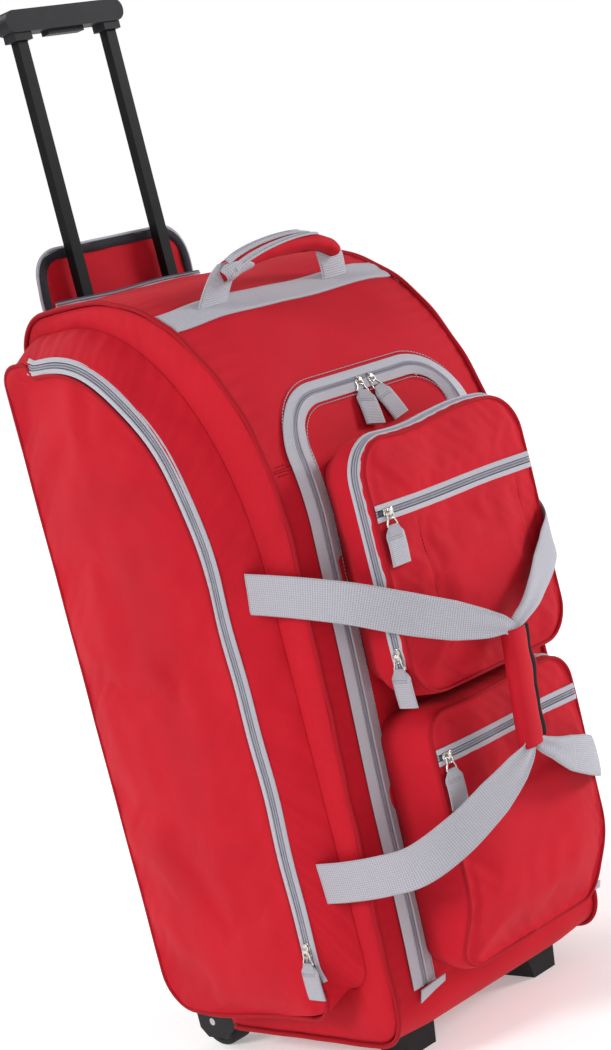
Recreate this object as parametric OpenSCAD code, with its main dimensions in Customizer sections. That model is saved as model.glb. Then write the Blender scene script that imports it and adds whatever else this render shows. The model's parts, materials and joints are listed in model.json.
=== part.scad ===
// Rolling duffel bag: a tall fabric body on two wheels and two feet, with a telescopic
// trolley handle, a hinged front lid that carries two pockets, two side pockets, a top carry
// handle and a pair of haul loops. Millimetres, +Z up, the lid faces -Y, the floor is z = 0.

/* [Body] */
// Width of the body between its two side pipings
body_w = 308; // [280:1:320]
// Depth of the body, front to back
body_d = 316; // [300:1:340]
// Height of the flat top above the floor
body_top = 787; // [760:1:820]
// Height of the underside above the floor
body_base = 31; // [28:1:36]
// Depth of the elliptical curve between front and top
front_round_y = 217; // [190:1:230]
// Height of the elliptical curve between front and top
front_round_z = 248; // [220:1:270]
// Radius of the top back corner
back_top_r = 41; // [36:1:50]
// Radius of the bottom back corner
back_low_r = 60; // [50:1:66]
// Radius of the bottom front corner
front_low_r = 34; // [26:1:40]
// How far the front leans back towards the base
front_lean = 20; // [10:1:26]
// Thickness of a fabric wall with its lining
fabric_t = 2; // [1.5:0.1:2.5]
// Thickness of the stiffening boards
board_t = 3; // [2:0.5:4]

/* [Lid] */
// Half width of the U-shaped zip, at its teeth
zip_half_w = 114.5; // [108:0.5:118]
// Height of the zip's top run, at its teeth
zip_top = 652; // [640:1:660]
// Radius of the zip's top corners, at its teeth
zip_corner_r = 52; // [40:1:60]
// Height of the zip's two lower ends, where the lid hinges
zip_bottom = 78; // [74:1:90]
// Width of one side of the main zip tape
zip_tape_w = 15.5; // [12:0.5:16]

/* [Pockets] */
// Half width of the upper pocket
upper_half_w = 112; // [104:1:114]
// Lowest and highest z of the upper pocket
upper_z = [360, 604];
// How far forward the upper pocket's face stands
upper_front = 228; // [220:1:232]
// Half width of the lower pocket
lower_half_w = 105; // [98:1:110]
// Lowest and highest z of the lower pocket
lower_z = [88, 342];
// How far forward the lower pocket's face stands
lower_front = 222; // [214:1:228]
// How far a side pocket stands out from the body
side_bulge = 33; // [24:1:36]
// Width of the tape on a pocket zip
pocket_zip_w = 16; // [12:1:20]

/* [Straps] */
// Width of the haul webbing
haul_w = 40; // [34:1:42]
// Width of the strap across the top
top_strap_w = 34; // [28:1:40]
// Thickness of all webbing
webbing_t = 1.8; // [1.4:0.1:2.2]
// Length of the grip that wraps the two haul loops
wrap_len = 108; // [90:1:116]
// Height of the carry handle's webbing above its hinge
carry_h = 56; // [48:1:60]
// How far the carry handle leans forward, in degrees
carry_lean = 10; // [0:1:14]

/* [Trolley] */
// Distance between the two tube axes
tube_pitch = 120; // [112:1:124]
// Width and depth of a sliding tube
inner_tube = [13, 12];
// Running gap between a sliding tube and its fixed rail, on each side
tube_gap = 0.08; // [0.05:0.01:0.10]
// Height of the grip's top above the floor when the handle is pulled out
grip_top = 1097; // [1080:1:1120]
// Length of the grip
grip_len = 158; // [150:1:166]

/* [Running gear] */
// Radius of a wheel over its tyre
wheel_r = 30; // [28:1:31]
// Distance of a wheel's middle plane from the centre line
wheel_x = 132; // [130:1:133]
// Width of a wheel
wheel_w = 24; // [20:1:25]
// Radius of the axle
axle_r = 4; // [3:0.5:5]
// Distance of a foot from the centre line
foot_x = 96; // [88:1:104]

/* [Hidden] */
// The origin is midway between the haul grip's front and the tyres' back
origin_shift = 45.8;
side_x = body_w / 2 - 2;                  // inner face of a side panel
front_y = -body_d / 2;
back_y = body_d / 2;
arc_y = front_y + front_round_y;          // centre of the front ellipse
arc_z = body_top - front_round_z;
lean_top = 538;                           // the front leans back below this height
border_y = -102;                          // seam between the front border and the base
seam_z = 594;                             // seam between the top gusset and the front border
tube_y = 162;                             // both tubes' axes
tube_x = tube_pitch / 2;
rail_wall = 1.5;
rail_z = [60, 776];
inner_tube_z = [598, 1070];
rail_bore = inner_tube + 2 * [tube_gap, tube_gap];
rail_outer = rail_bore + 2 * [rail_wall, rail_wall];
tube_wall = 1.3;
channel_half = 80;                        // half width of the raised channel in the back
channel_y = 174;                          // its outer face
wheel_y = 150;
housing_x = [112, 152];
housing_top = 84;
housing_front = 112;
housing_back = 172;
foot_y = -78;
foot_len = 44;
pin_z = 620;
pin_r = 2.2;
grip_mid_y = tube_y;
spring_r = 3.4;                           // the trigger spring's middle radius, wire and height
spring_wire = 0.45;
spring_h = 5.6;
grip_low = 1074;                          // underside of the grip between its collars
collar_low = 1066;
haul_front = 271.5;                       // how far forward the haul grip stands
haul_y = -264;                            // middle of the haul straps in the grip
haul_z = 342;                             // middle height of the haul grip
haul_root = [171, -98];                  // where a haul loop leaves the side pocket's seam
carry_hinge = [-57, 751];                 // y and z of the carry handle's hinge line
side_out = side_x + 1 + side_bulge;       // outer face of a side pocket
slider_gap = 0.4;
pocket_tape_t = 1.4;                      // how far a pocket's zip stands out
upper_r = 36;                             // radius of the upper pocket's corners
upper_zip_y = -217;                       // middle of the zip round the upper pocket
web_half = webbing_t / 2;
board_half = side_x - 10;                 // half width of both boards
back_board_y = back_y - 11;
base_board_back = back_y - back_low_r;    // the base board ends where the base starts to curve up
far = 300;                                // longer than any half of the body, for cutting blocks

$fn = 48;

// ---- outlines, as lists of [y, z] or [x, z] ----

function arc(cu, cv, ru, rv, a0, a1, n) =
  [for (i = [0:n]) let(a = a0 + (a1 - a0) * i / n) [cu + ru * cos(a), cv + rv * sin(a)]];

// Side view of the body, moved inwards by i
function body_outline(i) = concat(
  arc(arc_y, arc_z, front_round_y - i, front_round_z - i, 180, 90, 18),
  arc(back_y - back_top_r, body_top - back_top_r, back_top_r - i, back_top_r - i, 90, 0, 6),
  arc(back_y - back_low_r, body_base + back_low_r, back_low_r - i, back_low_r - i, 0, -90, 6),
  arc(front_y + front_lean + front_low_r, body_base + front_low_r,
      front_low_r - i, front_low_r - i, 270, 180, 6),
  [[front_y + i, lean_top]]);

// Side view of a side pocket: front edge, top, back edge and bottom, with its corner radii
function pocket_outline(front, top, back, bottom, ru, rv) = concat(
  arc(front + ru, top - rv, ru, rv, 180, 90, 16),
  arc(back - 18, top - 18, 18, 18, 90, 0, 4),
  arc(back - 34, bottom + 34, 34, 34, 0, -90, 5),
  arc(front + 26, bottom + 26, 26, 26, 270, 180, 4));
function outer_pocket_outline(i) =
  pocket_outline(-82 + i, 746 - i, 165 - i, 65 + i, 168 - i, 245 - i);

// Depth of the body's front surface at height z
function front_at(z) = z > arc_z
  ? arc_y - front_round_y * sqrt(1 - pow((z - arc_z) / front_round_z, 2)) : front_y;

// ---- helpers ----

// Draws its children on the right for s = 1 and mirrored to the left for s = -1
module side(s) { mirror([s < 0 ? 1 : 0, 0, 0]) children(); }

// Extrudes a [y, z] outline from x0 to x1
module slab(points, x0, x1) {
  translate([x0, 0, 0]) rotate([90, 0, 90]) linear_extrude(x1 - x0) polygon(points);
}

// Extrudes its [x, z] children from y0 to y1
module plate(y0, y1) {
  translate([0, y1, 0]) rotate([90, 0, 0]) linear_extrude(y1 - y0) children();
}

// The body's skin between two depths below its outline
module skin(outer, inner, half_w) {
  difference() {
    slab(body_outline(outer), -half_w, half_w);
    slab(body_outline(inner), -half_w - 1, half_w + 1);
  }
}

module round_rect(half_w, z0, z1, r) {
  inner = half_w - r;
  union() {
    translate([-half_w, z0 + r]) square([2 * half_w, z1 - z0 - 2 * r]);
    translate([-inner, z0]) square([2 * inner, z1 - z0]);
    for (u = [-inner, inner]) for (v = [z0 + r, z1 - r]) translate([u, v]) circle(r);
  }
}

// The lid's outline, grown by g from the line of the zip teeth
module lid_shape(g) {
  r = zip_corner_r + g;
  half = zip_half_w + g;
  top = zip_top + g;
  union() {
    translate([-half, zip_bottom]) square([2 * half, top - r - zip_bottom]);
    translate([-half + r, zip_bottom]) square([2 * (half - r), top - zip_bottom]);
    for (s = [-1, 1]) translate([s * (half - r), top - r]) circle(r);
  }
}

module lid_prism(g) { plate(-240, -60) lid_shape(g); }

// The corner taken out of the fabric for a wheel housing
module housing_notch() {
  for (s = [-1, 1]) side(s)
    translate([housing_x[0], housing_front, 0]) cube([60, 90, housing_top]);
}

module tube_section(size) { square(size, center = true); }

// A vertical webbing ribbon through a list of [x, y, z] middle points
module ribbon(points, width) {
  for (i = [0:len(points) - 2]) hull() {
    translate(points[i]) cylinder(h = width, r = web_half, center = true, $fn = 8);
    translate(points[i + 1]) cylinder(h = width, r = web_half, center = true, $fn = 8);
  }
}

// Axes of the screws: [x, y, z of the head's face], each driven upwards
SCREWS = concat(
  [for (s = [-1, 1]) for (v = [-12, 12]) [s * foot_x, foot_y + v, 5]],
  [for (u = [-84, 84]) for (v = [126, 142]) [u, v, body_base + 2]]);
screw_r = 2;
screw_head_r = 4;
screw_head_h = 2.5;
screw_len = 26;

// Room for the screws in the pieces that they hold
module screw_room() {
  for (p = SCREWS) translate(p) {
    translate([0, 0, -10]) cylinder(h = 10 + screw_head_h, r = screw_head_r + 0.05);
    cylinder(h = screw_len + 0.1, r = screw_r + 0.02);
  }
}

// ---- fabric body ----

module side_panel(s) {
  color("crimson") difference() {
    side(s) slab(body_outline(3), side_x - 1, side_x + 1);
    housing_notch();
  }
}

module top_gusset() {
  color("crimson") difference() {
    skin(0, fabric_t, side_x - 1);
    translate([-far, -far, -10]) cube([2 * far, far + arc_y, 10 + seam_z]);
    translate([-far, arc_y - 1, -10]) cube([2 * far, far, 10 + body_top - back_top_r]);
    translate([-86, back_board_y, 700]) cube([172, 60, 120]);
    lid_prism(zip_tape_w);
  }
}

module front_border() {
  color("crimson") difference() {
    intersection() {
      skin(0, fabric_t, side_x - 1);
      translate([-far, -far, 0]) cube([2 * far, far + border_y, seam_z]);
    }
    lid_prism(zip_tape_w);
  }
}

module bottom_panel() {
  color("firebrick") difference() {
    intersection() {
      skin(0, fabric_t, side_x - 1);
      translate([-far, border_y, 0]) cube([2 * far, housing_front - border_y, 60]);
    }
    screw_room();
  }
}

// The back bulges over the trolley rails
module back_panel() {
  half = side_x - 1;
  module outline(d) {
    polygon([[-half, back_y - d], [-channel_half - 16, back_y - d], [-channel_half, channel_y - d],
      [channel_half, channel_y - d], [channel_half + 16, back_y - d], [half, back_y - d],
      [half, back_y - 30], [-half, back_y - 30]]);
  }
  color("crimson") difference() {
    translate([0, 0, rail_z[0]]) linear_extrude(body_top - back_top_r - rail_z[0])
      difference() {
        outline(0);
        outline(fabric_t);
        translate([-far, 0]) square([2 * far, back_y - fabric_t]);
      }
    housing_notch();
  }
}

module back_board() {
  color("dimgray") difference() {
    translate([-board_half, back_board_y, rail_z[0]]) cube([2 * board_half, board_t, 680]);
    housing_notch();
  }
}

module base_board() {
  color("dimgray") difference() {
    translate([-board_half, border_y + 4, body_base + fabric_t])
      cube([2 * board_half, base_board_back - border_y - 4, board_t]);
    screw_room();
  }
}

// A cord of piping along each side seam
module piping() {
  color("darkred") difference() {
    for (s = [-1, 1]) side(s) difference() {
      slab(body_outline(-2), side_x - 1, side_x + 3);
      slab(body_outline(3), side_x - 2, side_x + 4);
    }
    housing_notch();
  }
}

module main_zip_outer() {
  color("silver") difference() {
    intersection() {
      skin(-1, fabric_t, side_x - 1);
      lid_prism(zip_tape_w - 0.05);
    }
    lid_prism(0.2);
    translate([-far, -far, 0]) cube([2 * far, far, zip_bottom + 0.2]);
  }
}

module side_pocket(s) {
  color("crimson") side(s) hull() {
    slab(pocket_outline(-112, 768, 148, 88, 200, 268), side_x + 1, side_x + 1.5);
    slab(outer_pocket_outline(0), side_out - 0.5, side_out);
  }
}

module side_zip(s) {
  color("silver") side(s) difference() {
    slab(outer_pocket_outline(0.5), side_out, side_out + pocket_tape_t);
    slab(outer_pocket_outline(pocket_zip_w), side_out - 1, side_out + pocket_tape_t + 1);
    translate([side_out - 1, 110, 0]) cube([4, 100, 800]);
    translate([side_out - 1, -100, 0]) cube([4, 300, 118]);
  }
}

module top_strap() {
  color("silver") intersection() {
    skin(-webbing_t, -0.02, side_x - 1.5);
    translate([-far, -69, 700]) cube([2 * far, top_strap_w * 0.74, 100]);
  }
}

// ---- lid and front pockets ----

module lid_panel() {
  color("crimson") intersection() {
    skin(-0.6, 1.2, side_x - 1);
    lid_prism(-zip_tape_w);
    translate([-far, -far, zip_bottom + 0.5]) cube([2 * far, far, 700]);
  }
}

module main_zip_inner() {
  color("silver") difference() {
    intersection() {
      skin(-1, 1.2, side_x - 1);
      lid_prism(-0.2);
      translate([-far, -far, zip_bottom + 0.5]) cube([2 * far, far, 700]);
    }
    lid_prism(-zip_tape_w + 0.05);
  }
}

// A narrower neck is sewn to the lid, inside the zip tape
module upper_pocket() {
  color("crimson") difference() {
    union() {
      plate(-upper_front, -100) round_rect(upper_half_w - 15, upper_z[0] + 2, upper_z[1], upper_r);
      plate(-upper_front, front_y - 24) round_rect(upper_half_w, upper_z[0], upper_z[1], upper_r);
    }
    slab(body_outline(-1.1), -side_x, side_x);
  }
}

module upper_side_zip() {
  t = pocket_tape_t;
  color("silver") difference() {
    plate(upper_zip_y - pocket_zip_w / 2, upper_zip_y + pocket_zip_w / 2)
      round_rect(upper_half_w + t, upper_z[0], upper_z[1] + t, upper_r + t);
    plate(-240, -180) round_rect(upper_half_w + 0.02, upper_z[0] - 2, upper_z[1] + 0.02, upper_r);
    translate([-far, -far, 0]) cube([2 * far, far, upper_z[0] + 30]);
  }
}

module front_zip(half_w, front, z) {
  color("silver") plate(-front - pocket_tape_t, -front)
    translate([-half_w, z - pocket_zip_w / 2]) square([2 * half_w, pocket_zip_w]);
}
module upper_front_zip() { front_zip(upper_half_w - 1, upper_front, 537); }
module lower_front_zip() { front_zip(lower_half_w - 1, lower_front, 302); }

module lower_pocket() {
  color("crimson") difference() {
    hull() {
      plate(-lower_front, 1 - lower_front)
        round_rect(lower_half_w, lower_z[0] + 34, lower_z[1], 24);
      plate(-188, -120) round_rect(lower_half_w, lower_z[0], lower_z[1], 24);
    }
    slab(body_outline(-1.1), -side_x, side_x);
  }
}

// ---- haul loops, carry handle, cover flap ----

// Upper leg, the run through the grip, and lower leg of one haul loop
module haul_strap(s) {
  end_x = 15;
  upper = [[haul_root[0], haul_root[1], 484], [166, -150, 478], [154, -176, 472],
    [124, -237, 446], [end_x, haul_y, 398]];
  lower = [[haul_root[0], haul_root[1], 196], [166, -150, 200], [158, -188, 206],
    [120, -234, 232], [end_x, haul_y, 286]];
  color("silver") side(s) {
    ribbon(upper, haul_w);
    ribbon(lower, haul_w);
    translate([3, haul_y - web_half, 290]) cube([14, webbing_t, 104]);
  }
}

// A padded sleeve, open towards the right-hand loop
module haul_wrap() {
  color("crimson") translate([-20, -haul_front, haul_z - wrap_len / 2]) difference() {
    cube([21, 15, wrap_len]);
    translate([3, 4, -1]) cube([19, 7, wrap_len + 2]);
  }
}

module at_carry_hinge() {
  translate([0, carry_hinge[0], carry_hinge[1]]) rotate([carry_lean, 0, 0]) children();
}

module carry_strap() {
  color("silver") at_carry_hinge() {
    for (s = [-1, 1]) side(s) translate([57, -web_half, 1]) cube([40, webbing_t, carry_h - 1]);
    translate([-97, -14, carry_h]) cube([194, 28, webbing_t]);
  }
}

module carry_grip() {
  color("crimson") at_carry_hinge() translate([-56, 0, carry_h - 9.5]) rotate([90, 0, 90])
    linear_extrude(112) union() {
      square([12, 19], center = true);
      square([30, 1], center = true);
      for (u = [-6, 6]) translate([u, 0]) circle(9.5);
    }
}

module cover_flap() {
  color("crimson") plate(channel_y + 0.5, channel_y + 5.5) union() {
    translate([-104, 789]) square([208, 40]);
    translate([-82, 789]) square([164, 62]);
    for (u = [-82, 82]) translate([u, 829]) circle(22);
  }
}

// ---- trolley ----

module rails() {
  color("black") for (s = [-1, 1]) side(s) translate([tube_x, tube_y, rail_z[0]]) difference() {
    linear_extrude(rail_z[1] - rail_z[0]) difference() {
      tube_section(rail_outer);
      tube_section(rail_bore);
    }
    translate([3, -3, 40]) cube([10, 6, 660]);
  }
}

module handle_bezel() {
  color("black") difference() {
    translate([-84, back_y - 10, body_top - back_top_r + 0.2]) cube([168, 25.5, 28]);
    for (s = [-1, 1]) translate([s * tube_x, tube_y, 700]) linear_extrude(100)
      tube_section(rail_outer);
  }
}

module lower_bracket() {
  color("black") difference() {
    translate([-110, housing_front + 0.2, body_base + fabric_t])
      cube([220, channel_y - housing_front - 0.2, rail_z[0] - body_base - fabric_t]);
    screw_room();
  }
}

module inner_tubes() {
  color("black") for (s = [-1, 1]) side(s) difference() {
    translate([tube_x, tube_y, inner_tube_z[0]])
      linear_extrude(inner_tube_z[1] - inner_tube_z[0]) difference() {
        tube_section(inner_tube);
        tube_section(inner_tube - 2 * [tube_wall, tube_wall]);
      }
    translate([tube_x, tube_y, pin_z]) rotate([0, 90, 0]) cylinder(h = 20, r = pin_r + 0.06);
  }
}

module grip() {
  half = grip_len / 2;
  color("dimgray") difference() {
    union() {
      plate(grip_mid_y - 12, grip_mid_y + 12) round_rect(half, grip_low, grip_top, 11);
      for (s = [-1, 1]) translate([s * tube_x - 11, grip_mid_y - 10, collar_low])
        cube([22, 20, 12]);
    }
    for (s = [-1, 1]) translate([s * tube_x, tube_y, collar_low - 1])
      linear_extrude(inner_tube_z[1] - collar_low + 1) tube_section(inner_tube);
    translate([-66, grip_mid_y - 5.5, 1079.6]) cube([132, 11, 11]);
    translate([-24.4, grip_mid_y - 6.4, 1060]) cube([48.8, 12.8, 26]);
    for (s = [-1, 1]) translate([s * tube_x, tube_y, 1060]) cylinder(h = 22, r = 2.5);
  }
}

// The finger bar under the grip, with the two rods that run down inside the tubes
module trigger() {
  color("black") translate([0, grip_mid_y, 0]) {
    translate([-24, -6, 1069]) cube([48, 12, 11.5]);
    translate([-62, -2.5, 1080]) cube([124, 5, 3]);
    for (s = [-1, 1]) translate([s * tube_x, 0, 626]) cylinder(h = 456, r = 1.5);
  }
}

// A helical spring between the finger bar and the grip's roof
module trigger_spring() {
  turns = 4;
  per_turn = 10;
  sides = 6;
  rings = turns * per_turn;
  points = [for (i = [0:rings]) for (k = [0:sides - 1])
    let(a = 360 * i / per_turn, c = 360 * k / sides, r = spring_r + spring_wire * cos(c))
    [r * cos(a), r * sin(a), spring_h * i / rings + spring_wire * sin(c)]];
  walls = [for (i = [0:rings - 1]) for (k = [0:sides - 1]) let(n = (k + 1) % sides)
    [i * sides + k, i * sides + n, (i + 1) * sides + n, (i + 1) * sides + k]];
  ends = [[for (k = [sides - 1:-1:0]) k], [for (k = [0:sides - 1]) rings * sides + k]];
  color("silver") translate([0, grip_mid_y, 1083.2 + spring_wire])
    polyhedron(points, concat(walls, ends), convexity = 6);
}

module lock_pin(s) {
  color("silver") side(s) translate([tube_x - 1, tube_y, pin_z]) rotate([0, 90, 0])
    cylinder(h = 9.2, r = pin_r);
}

// ---- running gear ----

module wheel_housing(s) {
  color("black") side(s) difference() {
    slab([[housing_front + 0.2, body_base], [housing_front + 0.2, housing_top - 0.2],
      [back_y, housing_top - 0.2], [housing_back, housing_top - 20],
      [housing_back, 22], [162, 12], [134, 12], [housing_front + 6, body_base - 6]],
      housing_x[0] + 0.2, housing_x[1]);
    translate([housing_x[0] + 6, wheel_y, wheel_r]) rotate([0, 90, 0])
      cylinder(h = 28, r = wheel_r + 3);
    translate([housing_x[0] - 1, wheel_y, wheel_r]) rotate([0, 90, 0])
      cylinder(h = 60, r = axle_r);
  }
}

module axles() {
  color("silver") for (s = [-1, 1]) side(s)
    translate([housing_x[0] + 0.2, wheel_y, wheel_r]) rotate([0, 90, 0])
      cylinder(h = housing_x[1] - housing_x[0] - 0.2, r = axle_r);
}

module wheel(s) {
  hub_r = 9;
  rim_in = 19;
  rim_out = wheel_r - 6;
  color("dimgray") side(s) translate([wheel_x, wheel_y, wheel_r]) rotate([0, 90, 0])
    difference() {
      union() {
        cylinder(h = wheel_w + 2, r = hub_r, center = true);
        cylinder(h = 8, r = rim_in + 1, center = true);
        difference() {
          cylinder(h = wheel_w - 2, r = rim_out, center = true);
          cylinder(h = wheel_w, r = rim_in, center = true);
        }
      }
      cylinder(h = wheel_w + 4, r = axle_r + 0.06, center = true);
      for (k = [0:5]) rotate([0, 0, 60 * k]) translate([14, 0, 0])
        cylinder(h = 20, r = 3, center = true);
    }
}

module tyre(s) {
  color("black") side(s) translate([wheel_x, wheel_y, wheel_r]) rotate([0, 90, 0])
    rotate_extrude() difference() {
      union() {
        translate([wheel_r - 6, -wheel_w / 2 + 3]) square([6, wheel_w - 6]);
        translate([wheel_r - 6, -wheel_w / 2]) square([3, wheel_w]);
        for (v = [-1, 1]) translate([wheel_r - 3, v * (wheel_w / 2 - 3)]) circle(3);
      }
      translate([0, -wheel_w]) square([wheel_r - 6, 2 * wheel_w]);
    }
}

module feet() {
  color("black") difference() {
    for (s = [-1, 1]) plate(foot_y - foot_len / 2, foot_y + foot_len / 2)
      polygon([[s * foot_x - 23, body_base], [s * foot_x + 23, body_base],
        [s * foot_x + 17, 0], [s * foot_x - 17, 0]]);
    screw_room();
  }
}

module screws() {
  color("silver") for (p = SCREWS) translate(p) {
    cylinder(h = screw_head_h, r = screw_head_r);
    cylinder(h = screw_len, r = screw_r);
  }
}

// ---- zip sliders and pulls ----
// Each is drawn on a zip that faces -Y and runs along X, with the slider's middle on the
// zip's face; place_pair turns and moves it to its own zip.

pull_len = 50;                            // from the hinge to the tab's end
pull_w = 24;                              // width of the tab
ring_drop = 14;                           // length of the wire ring
hinge_y = -3.9;                           // middle of the slot that the ring hangs in
splay = 12;                               // how far the two main pulls lean apart, in degrees

// The slot through the bridge runs along the zip, or across it where the zip stands upright
module slider_shape(upright = false) {
  slot = upright ? [4.2, 2, 10] : [10, 2, 3.2];
  color("silver") translate([0, -slider_gap, 0]) difference() {
    union() {
      translate([-7, -3, -4]) cube([14, 3, 8]);
      translate([-3.4, -6.4, -3]) cube([6.8, 3.5, 6]);
    }
    translate([0, hinge_y, 0]) cube(slot, center = true);
  }
}

// A wire ring and a webbing tab that hang from the slider's bridge
// lean turns the ring and the tab sideways, while the ring's top stays in the slot
module pull_shape(lean = 0) {
  ring_w = 12;
  wire = 1.4;
  half = pull_w / 2;
  fold_z = -ring_drop - 8;
  color("silver") translate([0, hinge_y - slider_gap, 0]) {
    translate([-ring_w / 2, -0.6, -0.6]) cube([ring_w, 1.2, 1.2]);
    difference() {
      rotate([0, lean, 0]) {
        difference() {
          translate([-ring_w / 2, -0.6, -ring_drop]) cube([ring_w, 1.2, ring_drop + 2]);
          translate([wire - ring_w / 2, -1, wire - ring_drop])
            cube([ring_w - 2 * wire, 2, ring_drop + 2]);
        }
        plate(-1, 1) polygon([[-7, 1 - ring_drop], [7, 1 - ring_drop], [half, fold_z],
          [half, -pull_len], [-half, -pull_len], [-half, fold_z]]);
      }
      translate([-12, -2, 0.6]) cube([24, 4, 10]);
    }
  }
}

slope_z = zip_top;
slope_y = front_at(slope_z);
slope_tilt = -atan((front_at(slope_z + 1) - front_at(slope_z - 1)) / 2);

module on_main_zip(x) { translate([x, slope_y - 2, slope_z]) rotate([slope_tilt, 0, 0]) children(); }
module on_upper_side() {
  translate([-upper_half_w - 1.4, upper_zip_y, 406]) rotate([0, 0, -90]) rotate([0, 90, 0]) children();
}
module on_upper_side_pull() {
  translate([-upper_half_w - 1.4, upper_zip_y, 406]) rotate([0, 0, -90]) children();
}
module on_upper_front() { translate([-98, -upper_front - 1.4, 537]) children(); }
module on_lower_front() { translate([-94, -lower_front - 1.4, 302]) children(); }
module on_side(s, y, z, turn) {
  side(s) translate([side_out + 1.4, y, z]) rotate([turn, 0, 0]) rotate([0, 0, 90])
    rotate([0, 90, 0]) children();
}
module on_side_pull(s, y, z) {
  side(s) translate([side_out + 1.4, y, z]) rotate([0, 0, 90]) children();
}

module main_slider(s) { on_main_zip(6 + 8 * s) slider_shape(); }
module main_pull(s) { on_main_zip(6 + 8 * s) pull_shape(-splay * s); }
module upper_side_slider() { on_upper_side() slider_shape(true); }
module upper_side_pull() { on_upper_side_pull() pull_shape(); }
module upper_front_slider() { on_upper_front() slider_shape(); }
module upper_front_pull() { on_upper_front() pull_shape(); }
module lower_front_slider() { on_lower_front() slider_shape(); }
module lower_front_pull() { on_lower_front() pull_shape(); }
module side_slider_left() { on_side(-1, -74, 140, 0) slider_shape(true); }
module side_pull_left() { on_side_pull(-1, -74, 140) pull_shape(); }
module side_slider_right() { on_side(1, -53, 622, -21.3) slider_shape(true); }
module side_pull_right() { on_side_pull(1, -53, 622) pull_shape(); }

module place() { translate([0, origin_shift, 0]) children(); }

place() side_panel(-1);  // side_panel_left
place() side_panel(1);  // side_panel_right
place() top_gusset();
place() front_border();
place() back_panel();
place() bottom_panel();
place() back_board();
place() base_board();
place() piping();
place() main_zip_outer();
place() side_pocket(-1);  // side_pocket_left
place() side_pocket(1);  // side_pocket_right
place() side_zip(-1);  // side_zip_left
place() side_zip(1);  // side_zip_right
place() top_strap();
place() lid_panel();
place() main_zip_inner();
place() upper_pocket();
place() upper_side_zip();
place() upper_front_zip();
place() lower_pocket();
place() lower_front_zip();
place() haul_strap(-1);  // haul_strap_left
place() haul_strap(1);  // haul_strap_right
place() haul_wrap();
place() carry_strap();
place() carry_grip();
place() cover_flap();
place() rails();
place() handle_bezel();
place() lower_bracket();
place() inner_tubes();
place() grip();
place() trigger();
place() trigger_spring();
place() lock_pin(-1);  // lock_pin_left
place() lock_pin(1);  // lock_pin_right
place() wheel_housing(-1);  // wheel_housing_left
place() wheel_housing(1);  // wheel_housing_right
place() axles();
place() wheel(-1);  // wheel_left
place() wheel(1);  // wheel_right
place() tyre(-1);  // tyre_left
place() tyre(1);  // tyre_right
place() feet();
place() screws();
place() main_slider(-1);  // main_slider_left
place() main_slider(1);  // main_slider_right
place() upper_side_slider();
place() upper_front_slider();
place() lower_front_slider();
place() side_slider_left();
place() side_slider_right();
place() main_pull(-1);  // main_pull_left
place() main_pull(1);  // main_pull_right
place() upper_side_pull();
place() upper_front_pull();
place() lower_front_pull();
place() side_pull_left();
place() side_pull_right();
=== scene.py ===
"""Looks of the rolling duffel bag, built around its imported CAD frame. Lengths are in millimetres in
the bag's own axes (y measured from the middle of the fabric body) until to_metres() places them."""

import json
import math

import bpy
import numpy as np
from mathutils import Matrix, Vector, noise


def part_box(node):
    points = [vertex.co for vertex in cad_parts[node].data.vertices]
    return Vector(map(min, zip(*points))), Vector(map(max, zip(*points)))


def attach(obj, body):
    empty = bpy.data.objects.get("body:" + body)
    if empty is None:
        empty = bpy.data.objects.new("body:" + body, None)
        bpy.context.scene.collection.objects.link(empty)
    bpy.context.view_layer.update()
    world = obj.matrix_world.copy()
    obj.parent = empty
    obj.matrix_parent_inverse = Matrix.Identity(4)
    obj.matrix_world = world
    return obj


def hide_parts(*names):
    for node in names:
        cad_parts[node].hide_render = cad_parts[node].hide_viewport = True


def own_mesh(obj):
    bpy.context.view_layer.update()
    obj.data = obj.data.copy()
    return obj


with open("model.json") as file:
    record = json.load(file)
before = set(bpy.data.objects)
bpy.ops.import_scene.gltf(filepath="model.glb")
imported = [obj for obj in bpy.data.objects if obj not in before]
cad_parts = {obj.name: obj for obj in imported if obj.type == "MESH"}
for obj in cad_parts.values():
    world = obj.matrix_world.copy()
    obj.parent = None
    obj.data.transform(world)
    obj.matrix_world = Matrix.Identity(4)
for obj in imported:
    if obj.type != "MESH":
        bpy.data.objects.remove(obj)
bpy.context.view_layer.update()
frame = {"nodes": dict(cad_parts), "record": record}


def cad(node):
    """Lowest and highest corner of a CAD node, in millimetres"""
    return [np.array(corner) * 1000 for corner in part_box(node)]


# ---------------------------------------------------------------- driving sizes
BODY_D = 316.0                       # depth of the fabric body
SHIFT = cad("piping")[1][1] - BODY_D / 2 - 2
SIDE_X = cad("side_panel_right")[1][0]
TOP_Z = cad("top_gusset")[1][2]
BASE_Z = cad("bottom_panel")[0][2]
FRONT_Y, BACK_Y = -BODY_D / 2, BODY_D / 2
ROUND_Y, ROUND_Z = 217.0, 248.0      # half axes of the curve between front and top
ARC_Y, ARC_Z = FRONT_Y + ROUND_Y, TOP_Z - ROUND_Z
BACK_TOP_R, BACK_LOW_R, FRONT_LOW_R = 41.0, 60.0, 34.0
LEAN, LEAN_TOP = 20.0, 538.0         # the front leans back towards the base below LEAN_TOP
SEAM_Z = 594.0
CHANNEL_HALF, CHANNEL_RISE = 80.0, 16.0
TEETH_HALF, TEETH_TOP, TEETH_R, TEETH_LOW = 114.5, 652.0, 52.0, 78.5
TAPE_W = 15.5
UPPER = dict(half=112.0, z0=cad("upper_pocket")[0][2], z1=cad("upper_pocket")[1][2], r=37.0,
             front=228.0, lean=0.0, wave=5.0, zip=537.0)
LOWER = dict(half=105.0, z0=cad("lower_pocket")[0][2], z1=cad("lower_pocket")[1][2], r=26.0,
             front=222.0, lean=30.0, wave=2.0, zip=302.0)
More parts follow.
